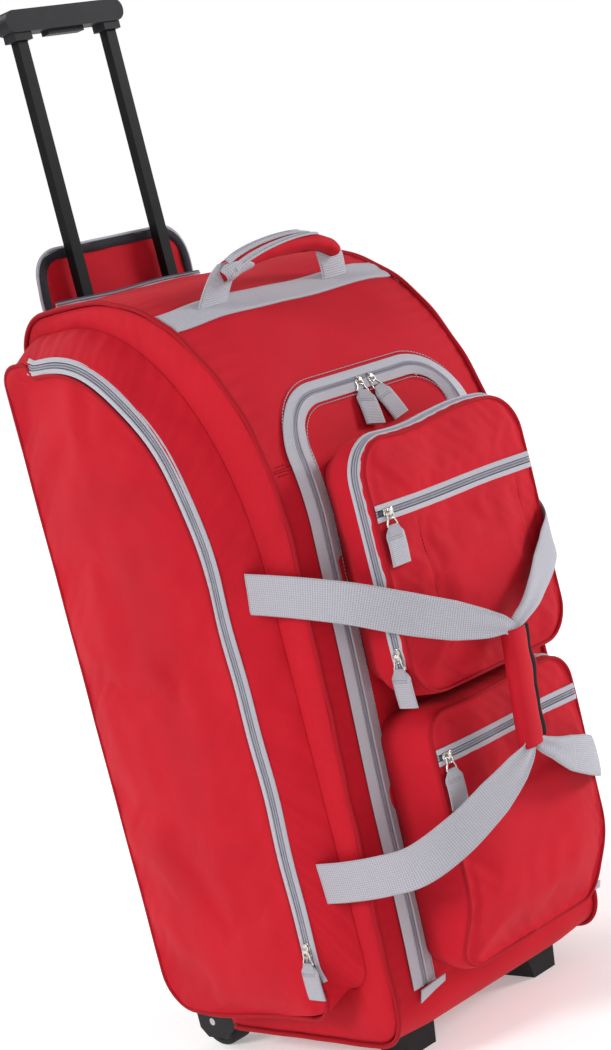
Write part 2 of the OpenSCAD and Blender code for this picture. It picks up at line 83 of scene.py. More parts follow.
POCKET_OUT = cad("side_pocket_right")[1][0]
WEB_T = 1.8
HOLE_OUT = 8.0                       # the cut for the lid stands this far outside its teeth


# ---------------------------------------------------------------- small geometry helpers
def side_word(s):
    return "right" if s > 0 else "left"


def to_metres(points):
    p = np.array(points, float).reshape(-1, 3)
    return (p + [0, SHIFT, 0]) * 0.001


def transform(matrix, verts):
    v = np.asarray(verts, float).reshape(-1, 3)
    return (np.array(matrix)[:3, :3] @ v.T).T + np.array(matrix)[:3, 3]


def unit(v):
    v = np.asarray(v, float)
    return v / np.maximum(np.linalg.norm(v, axis=-1, keepdims=True), 1e-9)


def smooth(a, b, x):
    t = np.clip((np.asarray(x, float) - a) / (b - a), 0, 1)
    return t * t * (3 - 2 * t)


def bump(x, centre, half):
    """A smooth hill, 1 at centre and 0 beyond half on either side"""
    t = np.clip(1 - np.abs(np.asarray(x, float) - centre) / half, 0, 1)
    return t * t * (3 - 2 * t)


def arc(cu, cv, ru, rv, a0, a1, n):
    a = np.radians(np.linspace(a0, a1, n + 1))
    return np.stack([cu + ru * np.cos(a), cv + rv * np.sin(a)], -1)


class Path:
    """A polyline with points and directions at any distance along it"""

    def __init__(self, points, closed=False):
        p = np.array(points, float)
        if closed:
            p = np.vstack([p, p[:1]])
        keep = np.r_[True, np.linalg.norm(np.diff(p, axis=0), axis=1) > 1e-6]
        self.p = p[keep]
        steps = np.linalg.norm(np.diff(self.p, axis=0), axis=1)
        self.s = np.r_[0, np.cumsum(steps)]
        self.length = self.s[-1]

    def at(self, s):
        return np.stack([np.interp(s, self.s, self.p[:, k]) for k in range(self.p.shape[1])], -1)

    def even(self, step):
        return np.linspace(0, self.length, max(2, int(round(self.length / step)) + 1))


def spline(points, n):
    """n points on a smooth curve through the given ones"""
    p = np.array(points, float)
    t = np.r_[0, np.cumsum(np.linalg.norm(np.diff(p, axis=0), axis=1) ** 0.5)]
    m = np.gradient(p, t, axis=0)
    out = []
    for x in np.linspace(0, t[-1], n):
        i = min(np.searchsorted(t, x, side="right") - 1, len(t) - 2)
        h = t[i + 1] - t[i]
        u = (x - t[i]) / h
        out.append((2 * u**3 - 3 * u**2 + 1) * p[i] + (u**3 - 2 * u**2 + u) * h * m[i]
                   + (3 * u**2 - 2 * u**3) * p[i + 1] + (u**3 - u**2) * h * m[i + 1])
    return np.array(out)


def crumple(points, size, seed=0.0):
    """Smooth noise between about -1 and 1 at each point, with features of the given size"""
    q = np.asarray(points, float).reshape(-1, 3) / size + seed
    n = np.array([noise.noise(Vector(v)) for v in q])
    return n.reshape(np.asarray(points).shape[:-1])


# ---------------------------------------------------------------- outlines of the bag
def body_outline(inset):
    """Side view [y, z], from the front's top edge over the top and round the base to the front"""
    top_r, low_r, front_r = (r - inset for r in (BACK_TOP_R, BACK_LOW_R, FRONT_LOW_R))
    return np.vstack([
        arc(ARC_Y, ARC_Z, ROUND_Y - inset, ROUND_Z - inset, 180, 90, 24),
        arc(BACK_Y - BACK_TOP_R, TOP_Z - BACK_TOP_R, top_r, top_r, 90, 0, 8),
        arc(BACK_Y - BACK_LOW_R, BASE_Z + BACK_LOW_R, low_r, low_r, 0, -90, 8),
        arc(FRONT_Y + LEAN + FRONT_LOW_R, BASE_Z + FRONT_LOW_R, front_r, front_r, 270, 180, 8),
        [[FRONT_Y + inset, LEAN_TOP]]])


def front_at(z):
    """Depth of the body's front at height z"""
    z = np.asarray(z, float)
    curve = ARC_Y - ROUND_Y * np.sqrt(np.maximum(1 - (np.maximum(z - ARC_Z, 0) / ROUND_Z) ** 2, 0))
    lean = LEAN * np.clip((LEAN_TOP - z) / (LEAN_TOP - BASE_Z - FRONT_LOW_R), 0, 1)
    low = np.clip(BASE_Z + FRONT_LOW_R - z, 0, FRONT_LOW_R)
    return curve + lean + FRONT_LOW_R - np.sqrt(FRONT_LOW_R**2 - low**2)


def lid_half_width(z, grow=0.0):
    """Half width of the U-shaped lid at height z, measured at its teeth and grown by grow"""
    r, half, top = TEETH_R + grow, TEETH_HALF + grow, TEETH_TOP + grow
    up = np.clip(np.asarray(z, float) - (top - r), 0, r)
    return half - r + np.sqrt(np.maximum(r * r - up * up, 0))


def u_path(grow=0.0):
    """The main zip's line [x, z] from its left end over the top to its right end"""
    r, half, top = TEETH_R + grow, TEETH_HALF + grow, TEETH_TOP + grow
    left = arc(-half + r, top - r, r, r, 180, 90, 14)
    right = arc(half - r, top - r, r, r, 90, 0, 14)
    return Path(np.vstack([[[-half, TEETH_LOW]], left, right, [[half, TEETH_LOW]]]))


def on_front(x, z, lift=0.0):
    """Points on the front's outer surface, lifted off it by lift"""
    z = np.asarray(z, float)
    slope = (front_at(z + 1) - front_at(z - 1)) / 2
    normal = unit(np.stack([0 * z, -np.ones_like(z), slope], -1))
    p = np.stack([np.asarray(x, float) + 0 * z, front_at(z), z], -1)
    return p + normal * (np.asarray(lift) + stuffing(x))[..., None], normal


def stuffing(x):
    """How far the stuffed body stands out between its side seams"""
    return 3.2 * smooth(0, 60, SIDE_X + 1 - np.abs(np.asarray(x, float)))


def near_lid(x, z):
    """1 at the lid and its zip, falling to 0 a little way outside them"""
    x, z = np.abs(np.asarray(x, float)), np.asarray(z, float)
    dx = x - lid_half_width(z, TAPE_W)
    dz = z - TEETH_TOP - TAPE_W
    away = np.where(dz > 0, np.hypot(dz, np.maximum(x - 70, 0)), np.maximum(dx, 0))
    return 1 - smooth(0, 26, away)


def root_outline():
    """Side view [y, z] of the seam that joins a side pocket's gusset to the body"""
    front, top, back, low = -112, 768, 148, 88
    return np.vstack([
        arc(front + 200, top - 268, 200, 268, 180, 90, 22),
        arc(back - 18, top - 18, 18, 18, 90, 0, 6),
        arc(back - 34, low + 34, 34, 34, 0, -90, 7),
        arc(front + 26, low + 26, 26, 26, 270, 180, 6)])


def rounded_rect(half, z0, z1, r, n=8):
    """Closed outline [x, z], starting at the middle of the bottom and going up the left side"""
    return np.vstack([
        [[0, z0]], arc(-half + r, z0 + r, r, r, 270, 180, n), arc(-half + r, z1 - r, r, r, 180, 90, n),
        arc(half - r, z1 - r, r, r, 90, 0, n), arc(half - r, z0 + r, r, r, 0, -90, n)])


# ---------------------------------------------------------------- materials
class Graph:
    """A node tree and short ways to add to it"""

    def __init__(self, tree):
        self.nodes, self.links = tree.nodes, tree.links

    def add(self, kind, **values):
        node = self.nodes.new(kind)
        for key, value in values.items():
            if key in node.inputs:
                node.inputs[key].default_value = value
            else:
                setattr(node, key, value)
        return node

    def maths(self, operation, a, b=None):
        node = self.add("ShaderNodeMath", operation=operation)
        for socket, value in zip(node.inputs, (a, b)):
            if isinstance(value, (int, float)):
                socket.default_value = value
            elif value is not None:
                self.links.new(value, socket)
        return node.outputs[0]

    def weighted(self, a, share, b, other=None):
        """a * share + b, with b times other where that is given"""
        scaled = self.maths("MULTIPLY", a, share)
        return self.maths("ADD", scaled, b if other is None else self.maths("MULTIPLY", b, other))


class Surface(Graph):
    """A material built up round its Principled shader"""

    def __init__(self, name, colour, roughness, metallic=0.0, sheen=0.0, specular=0.5):
        self.material, self.colour = bpy.data.materials.new(name), colour
        self.material.use_nodes = True
        super().__init__(self.material.node_tree)
        self.inputs = self.nodes["Principled BSDF"].inputs
        for socket, value in (("Base Color", (*colour, 1)), ("Roughness", roughness),
                              ("Metallic", metallic), ("Sheen Weight", sheen), ("Sheen Roughness", 0.4),
                              ("Specular IOR Level", specular)):
            self.inputs[socket].default_value = value
        self.position = self.add("ShaderNodeTexCoord").outputs["Object"]

    def noise(self, scale, detail, roughness=0.5):
        node = self.add("ShaderNodeTexNoise", Scale=scale, Detail=detail, Roughness=roughness)
        self.links.new(self.position, node.inputs["Vector"])
        return node.outputs["Fac"]

    def threads(self, *pitches):
        """Waves across the cloth's two axes, with the given thread pitches in metres"""
        axes = self.add("ShaderNodeSeparateXYZ")
        self.links.new(self.add("ShaderNodeUVMap", uv_map="UVMap").outputs[0], axes.inputs[0])
        return [self.maths("SINE", self.maths("MULTIPLY", axis, 2 * math.pi / pitch))
                for axis, pitch in zip(axes.outputs, pitches)]

    def tones(self, source, *stops):
        """Lightens and darkens the colour by source, at stops of (position, factor)"""
        node = self.add("ShaderNodeValToRGB")
        elements = node.color_ramp.elements
        while len(elements) < len(stops):
            elements.new(0.5)
        for element, (position, factor) in zip(elements, stops):
            element.position, element.color = position, (*shade(self.colour, factor), 1)
        self.links.new(source, node.inputs["Fac"])
        self.links.new(node.outputs["Color"], self.inputs["Base Color"])

    def gloss(self, source):
        self.links.new(source, self.inputs["Roughness"])

    def relief(self, *layers):
        """Bumps laid on one another, each a (height, strength, distance in metres)"""
        below = None
        for height, strength, distance in layers:
            node = self.add("ShaderNodeBump", Strength=strength, Distance=distance)
            self.links.new(height, node.inputs["Height"])
            if below:
                self.links.new(below, node.inputs["Normal"])
            below = node.outputs[0]
        self.links.new(below, self.inputs["Normal"])


def shade(colour, factor):
    return tuple(min(1.0, c * factor) for c in colour)


def fabric(name, colour, pitch=0.0009, weave=0.25):
    """Plain-woven polyester: thread relief, fine mottling and slightly paler worn patches"""
    m = Surface(name, colour, 0.78, sheen=0.02, specular=0.12)
    height = m.maths("MULTIPLY", *m.threads(pitch, pitch))
    m.tones(m.weighted(m.noise(9.0, 5.0, 0.6), 0.75, m.noise(700.0, 2.0), 0.25),
            (0.3, 0.86), (0.5, 1.0), (0.72, 1.10))
    m.gloss(m.weighted(height, 0.06, 0.7))
    m.relief((m.noise(26.0, 3.0, 0.55), 0.25, 0.004), (height, weave, 0.0004))
    return m.material


def webbing(name, colour, rib=0.0024):
    """Ribbed webbing: ribs across the strap, threads along it, and painted shade that darkens it between the
    ribs
    """
    m = Surface(name, colour, 0.7, sheen=0.04, specular=0.25)
    ribs, along = m.threads(rib, rib * 0.9)
    height = m.weighted(ribs, 0.7, along, 0.5)
    # the colour follows the relief: painted shade where it is low, between the ribs
    m.tones(m.weighted(height, 0.4, 0.5), (0.0, 0.62), (0.45, 0.95), (1.0, 1.08))
    m.gloss(m.weighted(m.noise(260.0, 3.0), 0.2, 0.5))
    m.relief((height, 0.5, 0.0006))
    return m.material


def hard(name, colour, roughness, metallic=0.0, grain=900.0, depth=0.0002, worn=1.5, specular=0.3):
    """Moulded plastic, lacquer or metal: fine grain, and slight scuffs that change its gloss"""
    m = Surface(name, colour, roughness, metallic, specular=specular)
    scuffs = m.noise(35.0, 6.0, 0.7)
    m.tones(scuffs, (0.35, 0.85), (0.6, 1.0), (0.8, worn))
    m.gloss(m.weighted(scuffs, 0.25, roughness - 0.12))
    m.relief((m.noise(grain, 2.0), 0.3, depth))
    return m.material


RED = (0.50, 0.0085, 0.020)
GREY = (0.45, 0.44, 0.49)
M = {
    "body_fabric": fabric("crimson_polyester", RED),
    "bottom_fabric": fabric("base_polyester", shade(RED, 0.7)),
    "lining": fabric("grey_lining", (0.09, 0.09, 0.10), weave=0.15),
    # the piping's red is darkened to paint the shade along the seams; the front seam's fold and the top
    # zip's binding take this painted shade too
    "piping": fabric("piping_polyester_painted_shade", shade(RED, 0.72), pitch=0.0012),
    "grip_fabric": fabric("grip_polyester", shade(RED, 0.97)),
    "thread": fabric("red_thread", shade(RED, 0.62), pitch=0.0004),
    "grey_thread": fabric("grey_thread", shade(GREY, 0.8), pitch=0.0004),
    "binding": webbing("black_binding", (0.018, 0.02, 0.028), rib=0.0016),
    "hook": hard("hook_and_loop", (0.012, 0.012, 0.014), 0.85, grain=500, depth=0.0008),
    "webbing": webbing("grey_webbing", GREY),
    "pull_tab": webbing("grey_tab", GREY, rib=0.0017),
    "zip_tape": webbing("zip_tape", shade(GREY, 1.25), rib=0.0011),
    "coil": hard("zip_coil", (0.36, 0.36, 0.42), 0.5, grain=300, worn=1.1),
    # the near-black zip_gap paints the shade in the groove between a zip's coil and its tape; the front
    # zips' end pieces are made of it too
    "zip_gap": hard("zip_gap", (0.07, 0.06, 0.09), 0.7, grain=300, worn=1.2),
    "slider_metal": hard("nickel", (0.72, 0.69, 0.64), 0.26, metallic=1.0, worn=1.05),
    "steel": hard("plated_steel", (0.55, 0.55, 0.54), 0.35, metallic=1.0, worn=1.1),
    "black_tube": hard("black_tube", (0.003, 0.003, 0.0035), 0.4, worn=1.8, specular=0.14),
    "grip_plastic": hard("charcoal_grip", (0.014, 0.0145, 0.017), 0.5, specular=0.16),
    "black_plastic": hard("black_moulding", (0.012, 0.012, 0.013), 0.5, worn=1.6, specular=0.2),
    "wheel_plastic": hard("wheel_moulding", (0.05, 0.05, 0.055), 0.45, worn=1.4),
    "tyre_rubber": hard("polyurethane_tyre", (0.014, 0.014, 0.014), 0.7, worn=2.2),
    "board": hard("stiff_board", (0.05, 0.05, 0.052), 0.6, worn=1.3),
}


# ---------------------------------------------------------------- making pieces
def make(name, shape, material, body, cad_node=None, slot=None, flat=False, at=None):
    """A mesh piece that rides on a body. shape is its points, faces and uv for each point, in mm,
    and at is a matrix that places it."""
    verts, faces, uvs = shape
    if at is not None:
        verts = transform(at, verts)
    mesh = bpy.data.meshes.new(name)
    mesh.from_pydata([tuple(v) for v in to_metres(verts)], [], [tuple(int(i) for i in f) for f in faces])
    mesh.update()
    layer = mesh.uv_layers.new(name="UVMap")
    index = np.zeros(len(mesh.loops), int)
    mesh.loops.foreach_get("vertex_index", index)
    layer.data.foreach_set("uv", (np.asarray(uvs, float) * 0.001)[index].reshape(-1))
    mesh.materials.append(M[material])
    mesh.polygons.foreach_set("use_smooth", [not flat] * len(mesh.polygons))
    obj = bpy.data.objects.new(name, mesh)
    bpy.context.scene.collection.objects.link(obj)
    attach(obj, body)
    if cad_node:
        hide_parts(cad_node)
    return obj


def quads(nu, nv, keep=None, close_u=False, close_v=False):
    """Faces of a grid of nu by nv points; keep says which of its cells stay"""
    faces = []
    for i in range(nu if close_u else nu - 1):
        for j in range(nv if close_v else nv - 1):
            if keep is None or keep[i, j]:
                a, b = i * nv, ((i + 1) % nu) * nv
                faces.append((a + j, b + j, b + (j + 1) % nv, a + (j + 1) % nv))
    return faces


def tube_faces(n, k):
    """Faces of a tube of n rings of k points, with an end face on each end"""
    return quads(n, k, close_v=True) + [tuple(range(k)), tuple(n * k - 1 - j for j in range(k))]


def flat_tube_faces(n, k):
    """The same for flat rings, which run out along one side and back along the other"""
    faces = quads(n, k, close_v=True)
    for i in (0, n - 1):
        for j in range(k // 2 - 1):
            a, b = i * k + j, i * k + k - 1 - j
            faces.append((a, a + 1, b - 1, b) if i else (b, b - 1, a + 1, a))
    return faces


def thicken(obj, thickness, offset=-1.0):
    mod = obj.modifiers.new("thickness", "SOLIDIFY")
    mod.thickness, mod.offset, mod.use_quality_normals = thickness * 0.001, offset, True
    return obj


def run_lengths(points):
    return np.r_[0, np.cumsum(np.linalg.norm(np.diff(points, axis=0), axis=1))]


def sheet_piece(name, grid, material, body, keep=None, uv=None, **more):
    """A piece of fabric from a grid of points, without the points that no cell uses"""
    nu, nv = grid.shape[:2]
    faces = quads(nu, nv, keep)
    used = sorted({i for f in faces for i in f})
    place = {old: new for new, old in enumerate(used)}
    if uv is None:
        du = np.linalg.norm(np.diff(grid, axis=0), axis=2)
        dv = np.linalg.norm(np.diff(grid, axis=1), axis=2)
        uv = np.stack([np.vstack([np.zeros((1, nv)), np.cumsum(du, 0)]),
                       np.hstack([np.zeros((nu, 1)), np.cumsum(dv, 1)])], -1)
    shape = grid.reshape(-1, 3)[used], [[place[i] for i in f] for f in faces], uv.reshape(-1, 2)[used]
    return make(name, shape, material, body, **more)


def frames_along(points, up):
    """Tangent, side and normal at each point; up is the wanted normal, one or one for each"""
    tangent = unit(np.gradient(points, axis=0))
    up = np.broadcast_to(np.asarray(up, float), points.shape)
    side = unit(np.cross(up, tangent))
    return tangent, side, unit(np.cross(tangent, side))


def swept(points, side, normal, section, closed=False):
    """Verts and faces of a section [across, up] carried along points, with its own uv"""
    section = np.asarray(section, float)
    n, k = len(points), len(section)
    verts = (points[:, None] + side[:, None] * section[None, :, :1]
             + normal[:, None] * section[None, :, 1:2])
    faces = quads(n, k, close_u=True, close_v=True) if closed else tube_faces(n, k)
    uv = np.stack([np.repeat(run_lengths(points)[:, None], k, 1),
                   np.repeat(section[None, :, 0], n, 0)], -1)
    return verts.reshape(-1, 3), faces, uv.reshape(-1, 2)


def merge(chunks):
    verts, faces, uvs, base = [], [], [], 0
    for v, f, uv in chunks:
        verts.append(v)
        uvs.append(uv)
        faces += [tuple(i + base for i in face) for face in f]
        base += len(v)
    return np.vstack(verts), faces, np.vstack(uvs)


def ring_section(r, sides=10):
    a = np.radians(np.arange(sides) * 360 / sides)
    return np.stack([r * np.cos(a), r * np.sin(a)], -1)


def tube_piece(name, points, r, material, body, up=(0.3, 0.2, 1), closed=False, sides=10, **more):
    _, side, normal = frames_along(points, up)
    if closed:
        points, side, normal = points[:-1], side[:-1], normal[:-1]
    return make(name, swept(points, side, normal, ring_section(r, sides), closed), material, body, **more)


BOX_FACES = [(0, 1, 2, 3), (7, 6, 5, 4), (0, 4, 5, 1), (1, 5, 6, 2), (2, 6, 7, 3), (3, 7, 4, 0)]


def bar(centre, along, side, up, size):
    """A small tapered block, used for zip teeth and stitches"""
    l, w, h = size
    c = [(-l, -w * .6, 0), (l, -w * .6, 0), (l, w * .6, 0), (-l, w * .6, 0),
         (-l * .8, -w * .4, h), (l * .8, -w * .4, h), (l * .8, w * .4, h), (-l * .8, w * .4, h)]
    v = np.array([centre + a * along + b * side + k * up for a, b, k in c])
    f = [(3, 2, 1, 0), (4, 5, 6, 7), (0, 1, 5, 4), (1, 2, 6, 5), (2, 3, 7, 6), (3, 0, 4, 7)]
    return v, f, np.array([(a, b) for a, b, k in c])


def stitch_chunks(points, normals, pitch=4.6, length=3.2, r=0.42):
    path, norm = Path(points), np.asarray(normals, float)
    s = np.arange(pitch, path.length - pitch / 2, pitch)
    p, q = path.at(s - length / 2), path.at(s + length / 2)
    index = np.interp(s, path.s, np.arange(len(path.p))).astype(int)
    norm = np.broadcast_to(norm, path.p.shape) if norm.ndim == 1 else norm[: len(path.p)]
    chunks = []
    for a, b, i in zip(p, q, index):
        along = unit(b - a)
        side = unit(np.cross(norm[i], along))
        chunks.append(bar((a + b) / 2, along, side, norm[i], (length / 2, 2 * r, 1.3 * r)))
    return chunks


def stitches(name, lines, body, material="thread", slot="body_fabric", **more):
    """One piece with every stitch along several (points, normals) lines"""
    make(name, merge([c for points, normals in lines for c in stitch_chunks(points, normals, **more)]),
         material, body, slot=slot)


def sided(section, sign):
    """A section drawn for the right half of a zip, mirrored for its left half"""
    mirrored = [(-x, y) for x, y in section[::-1]]
    return section if sign > 0 else mirrored[-2:] + mirrored[:-2]


def zip_tape(name, points, normal, sign, body, inner=3.1, outer=TAPE_W, cad_node=None, t=1.1, share=None):
    """One half of a zip: its tape beside the teeth line, on the side that sign gives; share
    says how much of its width shows along it"""
    _, side, up = frames_along(points, normal)
    if share is not None:
        side = side * share[:, None]
    fold = inner + 0.9
    section = [(inner, 0), (outer, 0), (outer, t * .6), (outer - .5, t), (fold + 1.0, t), (fold, t * 1.9),
               (fold - 1.0, t * 1.2), (inner, t * .5)]
    make(name, swept(points, side, up, sided(section, sign)), "zip_tape", body, cad_node)


def zip_teeth(name, points, normal, sign, body):
    """The coil's ribs of one half, with a near-black strip under them that paints the shade in the groove
    between them and the tape
    """
    pitch, reach = 1.7, 2.2
    tangent, side, up = frames_along(points, normal)
    groove = [(0.1, -0.3), (reach + 1.6, -0.3), (reach + 1.6, 0.2), (0.1, 0.2)]
    # near-black strip under the coil: painted shade in the groove
    make(name + "_gap", swept(points, side, up, sided(groove, sign)), "zip_gap", body, slot="zip_tape")
    core = [(0.25, 0.1), (reach, 0.1), (reach - .1, 0.95), (0.3, 0.95)]
    chunks, path = [swept(points, side, up, sided(core, sign))], Path(points)
    for s in np.arange(pitch * (1.0 if sign > 0 else 1.5), path.length - pitch, pitch):
        i = int(np.interp(s, path.s, np.arange(len(path.p))))
        centre = path.at(np.array([s]))[0] + side[i] * sign * (reach * 0.5 + 0.1) + up[i] * 0.4
        chunks.append(bar(centre, side[i], tangent[i], up[i], (reach * 0.5, pitch * 0.62, 0.95)))
    make(name, merge(chunks), "coil", body, slot="zip_tape")


def whole_zip(name, points, normal, body, half, cad_node=None):
    """Both halves of a zip that rides on one body"""
    for sign, tag in ((1, "a"), (-1, "b")):
        zip_tape(f"{name}_tape_{tag}", points, normal, sign, body, outer=half,
                 cad_node=cad_node if sign > 0 else None)
    for sign, tag in ((1, "a"), (-1, "b")):
        zip_teeth(f"{name}_coil_{tag}", points, normal, sign, body)


# ---------------------------------------------------------------- fabric that settles by simulation
settling = []
SETTLE_FRAMES, SETTLE_CAP = 22, 5.0  # steps of the simulation, and how far a point may move


def settle(obj, pinned, slack, pressure):
    """Marks a panel to be settled between its pinned points by one cloth simulation"""
    group = obj.vertex_groups.new(name="pin")
    group.add([int(i) for i in pinned], 1.0, "REPLACE")
    mod = obj.modifiers.new("cloth", "CLOTH")
    c = mod.settings
    c.quality, c.mass = 6, 0.25
    c.tension_stiffness = c.compression_stiffness = 20
    c.shear_stiffness, c.bending_stiffness = 8, 0.8
    c.use_pressure, c.uniform_pressure_force = True, pressure
    c.vertex_group_mass = "pin"
    c.shrink_min = -slack
    c.effector_weights.gravity = 0
    mod.collision_settings.use_collision = False
    settling.append(obj)


def coordinates(mesh):
    flat = np.empty(len(mesh.vertices) * 3)
    mesh.vertices.foreach_get("co", flat)
    return flat.reshape(-1, 3)


def run_settling():
    """Runs the marked panels' simulation once and keeps its result in their meshes"""
    scene = bpy.context.scene
    for f in range(1, SETTLE_FRAMES + 1):
        scene.frame_set(f)
    graph = bpy.context.evaluated_depsgraph_get()
    results = []
    for obj in settling:
        others = [m for m in obj.modifiers if m.type != "CLOTH"]
        for m in others:
            m.show_viewport = False
        graph.update()
        old = coordinates(obj.data)
        move = coordinates(obj.evaluated_get(graph).to_mesh()) - old
        far = np.linalg.norm(move, axis=1, keepdims=True)
        results.append((obj, old + move * np.minimum(1, SETTLE_CAP * 0.001 / np.maximum(far, 1e-9))))
        for m in others:
            m.show_viewport = True
    for obj, co in results:
        obj.modifiers.remove(obj.modifiers["cloth"])
        obj.data.vertices.foreach_set("co", co.reshape(-1))
        obj.data.update()
    scene.frame_set(1)


def finish_fabric(obj, thickness=1.3, subdivide=1):
    if subdivide:
        sub = obj.modifiers.new("smooth", "SUBSURF")
        sub.levels = sub.render_levels = subdivide
        sub.boundary_smooth = "PRESERVE_CORNERS"
    return thicken(obj, thickness, offset=0.0)


def face_outward(obj, centre):
    """Turns the faces so that they look away from centre"""
    mesh = obj.data
    total = sum((p.center - Vector(centre)).dot(p.normal) * p.area for p in mesh.polygons)
    if total < 0:
        mesh.flip_normals()
    return obj


# ---------------------------------------------------------------- body shell
BAG_CENTRE = (0, SHIFT * 0.001, 0.42)
ring = Path(np.vstack([
    arc(FRONT_Y + LEAN + FRONT_LOW_R, BASE_Z + FRONT_LOW_R, FRONT_LOW_R, FRONT_LOW_R, 270, 180, 16),
    [[FRONT_Y, LEAN_TOP]], arc(ARC_Y, ARC_Z, ROUND_Y, ROUND_Z, 180, 90, 48),
    arc(BACK_Y - BACK_TOP_R, TOP_Z - BACK_TOP_R, BACK_TOP_R, BACK_TOP_R, 90, 0, 16),
    arc(BACK_Y - BACK_LOW_R, BASE_Z + BACK_LOW_R, BACK_LOW_R, BACK_LOW_R, 0, -90, 16)]), closed=True)


def ring_frame(s):
    """Point and outward normal [y, z] at distance s round the body"""
    s = np.mod(s, ring.length)
    ahead, back = ring.at(np.mod(s + 2, ring.length)), ring.at(np.mod(s - 2, ring.length))
    t = unit(ahead - back)
    return ring.at(s), np.stack([-t[..., 1], t[..., 0]], -1)


def ring_s(y, z):
    s = np.linspace(0, ring.length, 4000)
    return s[np.argmin(np.linalg.norm(ring.at(s) - [y, z], axis=1))]


S_FRONT_LOW = ring_s(-102, BASE_Z)
S_SEAM = ring_s(float(front_at(SEAM_Z)), SEAM_Z)
S_BACK_TOP = ring_s(BACK_Y, TOP_Z - BACK_TOP_R)
S_BACK_LOW = ring_s(BACK_Y, BASE_Z + BACK_LOW_R)
HALF = SIDE_X + 1.0


def pucker(distance, along, pitch=17.0, reach=26.0, height=1.0, phase=0.0):
    """Small folds that a seam pulls into the fabric beside it"""
    wave = np.sin(2 * np.pi * along / pitch + phase + 2.2 * np.sin(along / 61.0 + phase))
    return height * wave * np.exp(-np.abs(distance) / reach) * smooth(0, 5, np.abs(distance))


def shell_points(s, x, lift=0.0, soft=1.0):
    """The body's fabric at distances s round it and x across it, as a grid of points"""
    p, n = ring_frame(s)
    S, X = np.meshgrid(s, x, indexing="ij")
    P, N = p[:, None, :], n[:, None, :]
    edge = HALF - np.abs(X)
    z, y = np.broadcast_to(P[..., 1], S.shape), np.broadcast_to(P[..., 0], S.shape)
    on_back = smooth(0.9, 0.99, np.broadcast_to(N[..., 0], S.shape))
    on_top = smooth(0.5, 0.98, np.broadcast_to(N[..., 1], S.shape))
    calm = 1 - near_lid(X, z) * (y < 0)
    out = stuffing(X) * (1 - on_back) + lift
    out = out - 3.5 * on_top * bump(y, 45, 60) * smooth(10, 90, edge)
    wide = crumple(np.stack([X, y, z], -1), 105.0, 3.1)
    fine = crumple(np.stack([X * 0.7, y, z], -1), 38.0, 11.7)
    out = out + soft * (3.4 * wide + 1.6 * fine) * smooth(2, 30, edge) * (1 - 0.7 * on_back) * calm
    out = out + soft * pucker(edge, S, height=1.0, phase=np.sign(X) * 1.3) * (1 - 0.6 * on_back) * calm
    channel = CHANNEL_RISE * (1 - smooth(CHANNEL_HALF, CHANNEL_HALF + 16, np.abs(X)))
    out = out + channel * on_back * smooth(58, 66, z) * (1 - smooth(740, 747, z))
    Y = P[..., 0] + N[..., 0] * out
    Z = P[..., 1] + N[..., 1] * out
    return np.stack([X, Y, Z], -1), S, X, y, z


def lid_hole(X, y, z):
    inside = (np.abs(X) < lid_half_width(z, HOLE_OUT)) & (z > TEETH_LOW) & (z < TEETH_TOP + HOLE_OUT)
    return inside & (y < 0)


def middle(a):
    return (a[:-1, :-1] + a[1:, :-1] + a[:-1, 1:] + a[1:, 1:]) / 4


def shell_piece(name, s0, s1, material, step, hole, lift=0.0, soft=1.0, **more):
    s = np.linspace(s0, s1, max(3, int(round((s1 - s0) / step)) + 1))
    x = np.linspace(-HALF, HALF, int(2 * HALF / step) + 1)
    grid, S, X, y, z = shell_points(s, x, lift, soft)
    keep = ~hole(middle(X), middle(y), middle(z))
    obj = sheet_piece(name, grid, material, "bag", keep, uv=np.stack([X, S], -1), **more)
    return face_outward(obj, BAG_CENTRE)


def handle_hole(X, y, z):
    return (np.abs(X) < CHANNEL_HALF + 3) & (y > BACK_Y - 9) & (z > 700) | lid_hole(X, y, z)


WHEEL_CUT, WHEEL_TOP = 111, 85       # the fabric is cut away for the wheels out from and below these


def wheel_hole(X, y, z):
    return (np.abs(X) > WHEEL_CUT) & (y > WHEEL_CUT) & (z < WHEEL_TOP)


S_START = S_FRONT_LOW - ring.length
for name, s0, s1, cloth, step, hole, node in (
        ("top_gusset_cloth", S_SEAM, S_BACK_TOP, "body_fabric", 5.0, handle_hole, "top_gusset"),
        ("front_border_cloth", S_START, S_SEAM, "body_fabric", 5.0, lid_hole, "front_border"),
        ("back_cloth", S_BACK_TOP, S_BACK_LOW, "body_fabric", 8.0, wheel_hole, "back_panel"),
        ("bottom_cloth", S_BACK_LOW, S_FRONT_LOW, "bottom_fabric", 8.0, wheel_hole, "bottom_panel")):
    finish_fabric(shell_piece(name, s0, s1, cloth, step, hole, cad_node=node))
finish_fabric(shell_piece("lining_cloth", S_START, S_BACK_TOP, "lining", 7.0, lid_hole, lift=-4.0, soft=0.6,
                          slot="body_fabric"), 0.8, 0)


# ---------------------------------------------------------------- wheel wells inside the bag
WELL_X, WELL_Z = 109, 86.5
for sx in (-1, 1):
    profile = spline([(157, WELL_Z), (122, WELL_Z), (111, 84), (109, 74), (109, 60)], 14)
    hood = np.stack([np.column_stack([np.full(14, sx * x), profile]) for x in np.linspace(WELL_X, 171, 12)])
    wall = np.array([[(sx * WELL_X, y, z) for z in np.linspace(60, WELL_Z, 6)]
                     for y in np.linspace(109, 157, 10)])
    for tag, grid in (("hood", hood), ("wall", wall)):
        thicken(sheet_piece(f"wheel_well_{tag}_{side_word(sx)}", grid, "bottom_fabric", "bag"), 1.2, 0)


# ---------------------------------------------------------------- the side panels and their piping
MID = np.array([22.0, 420.0])


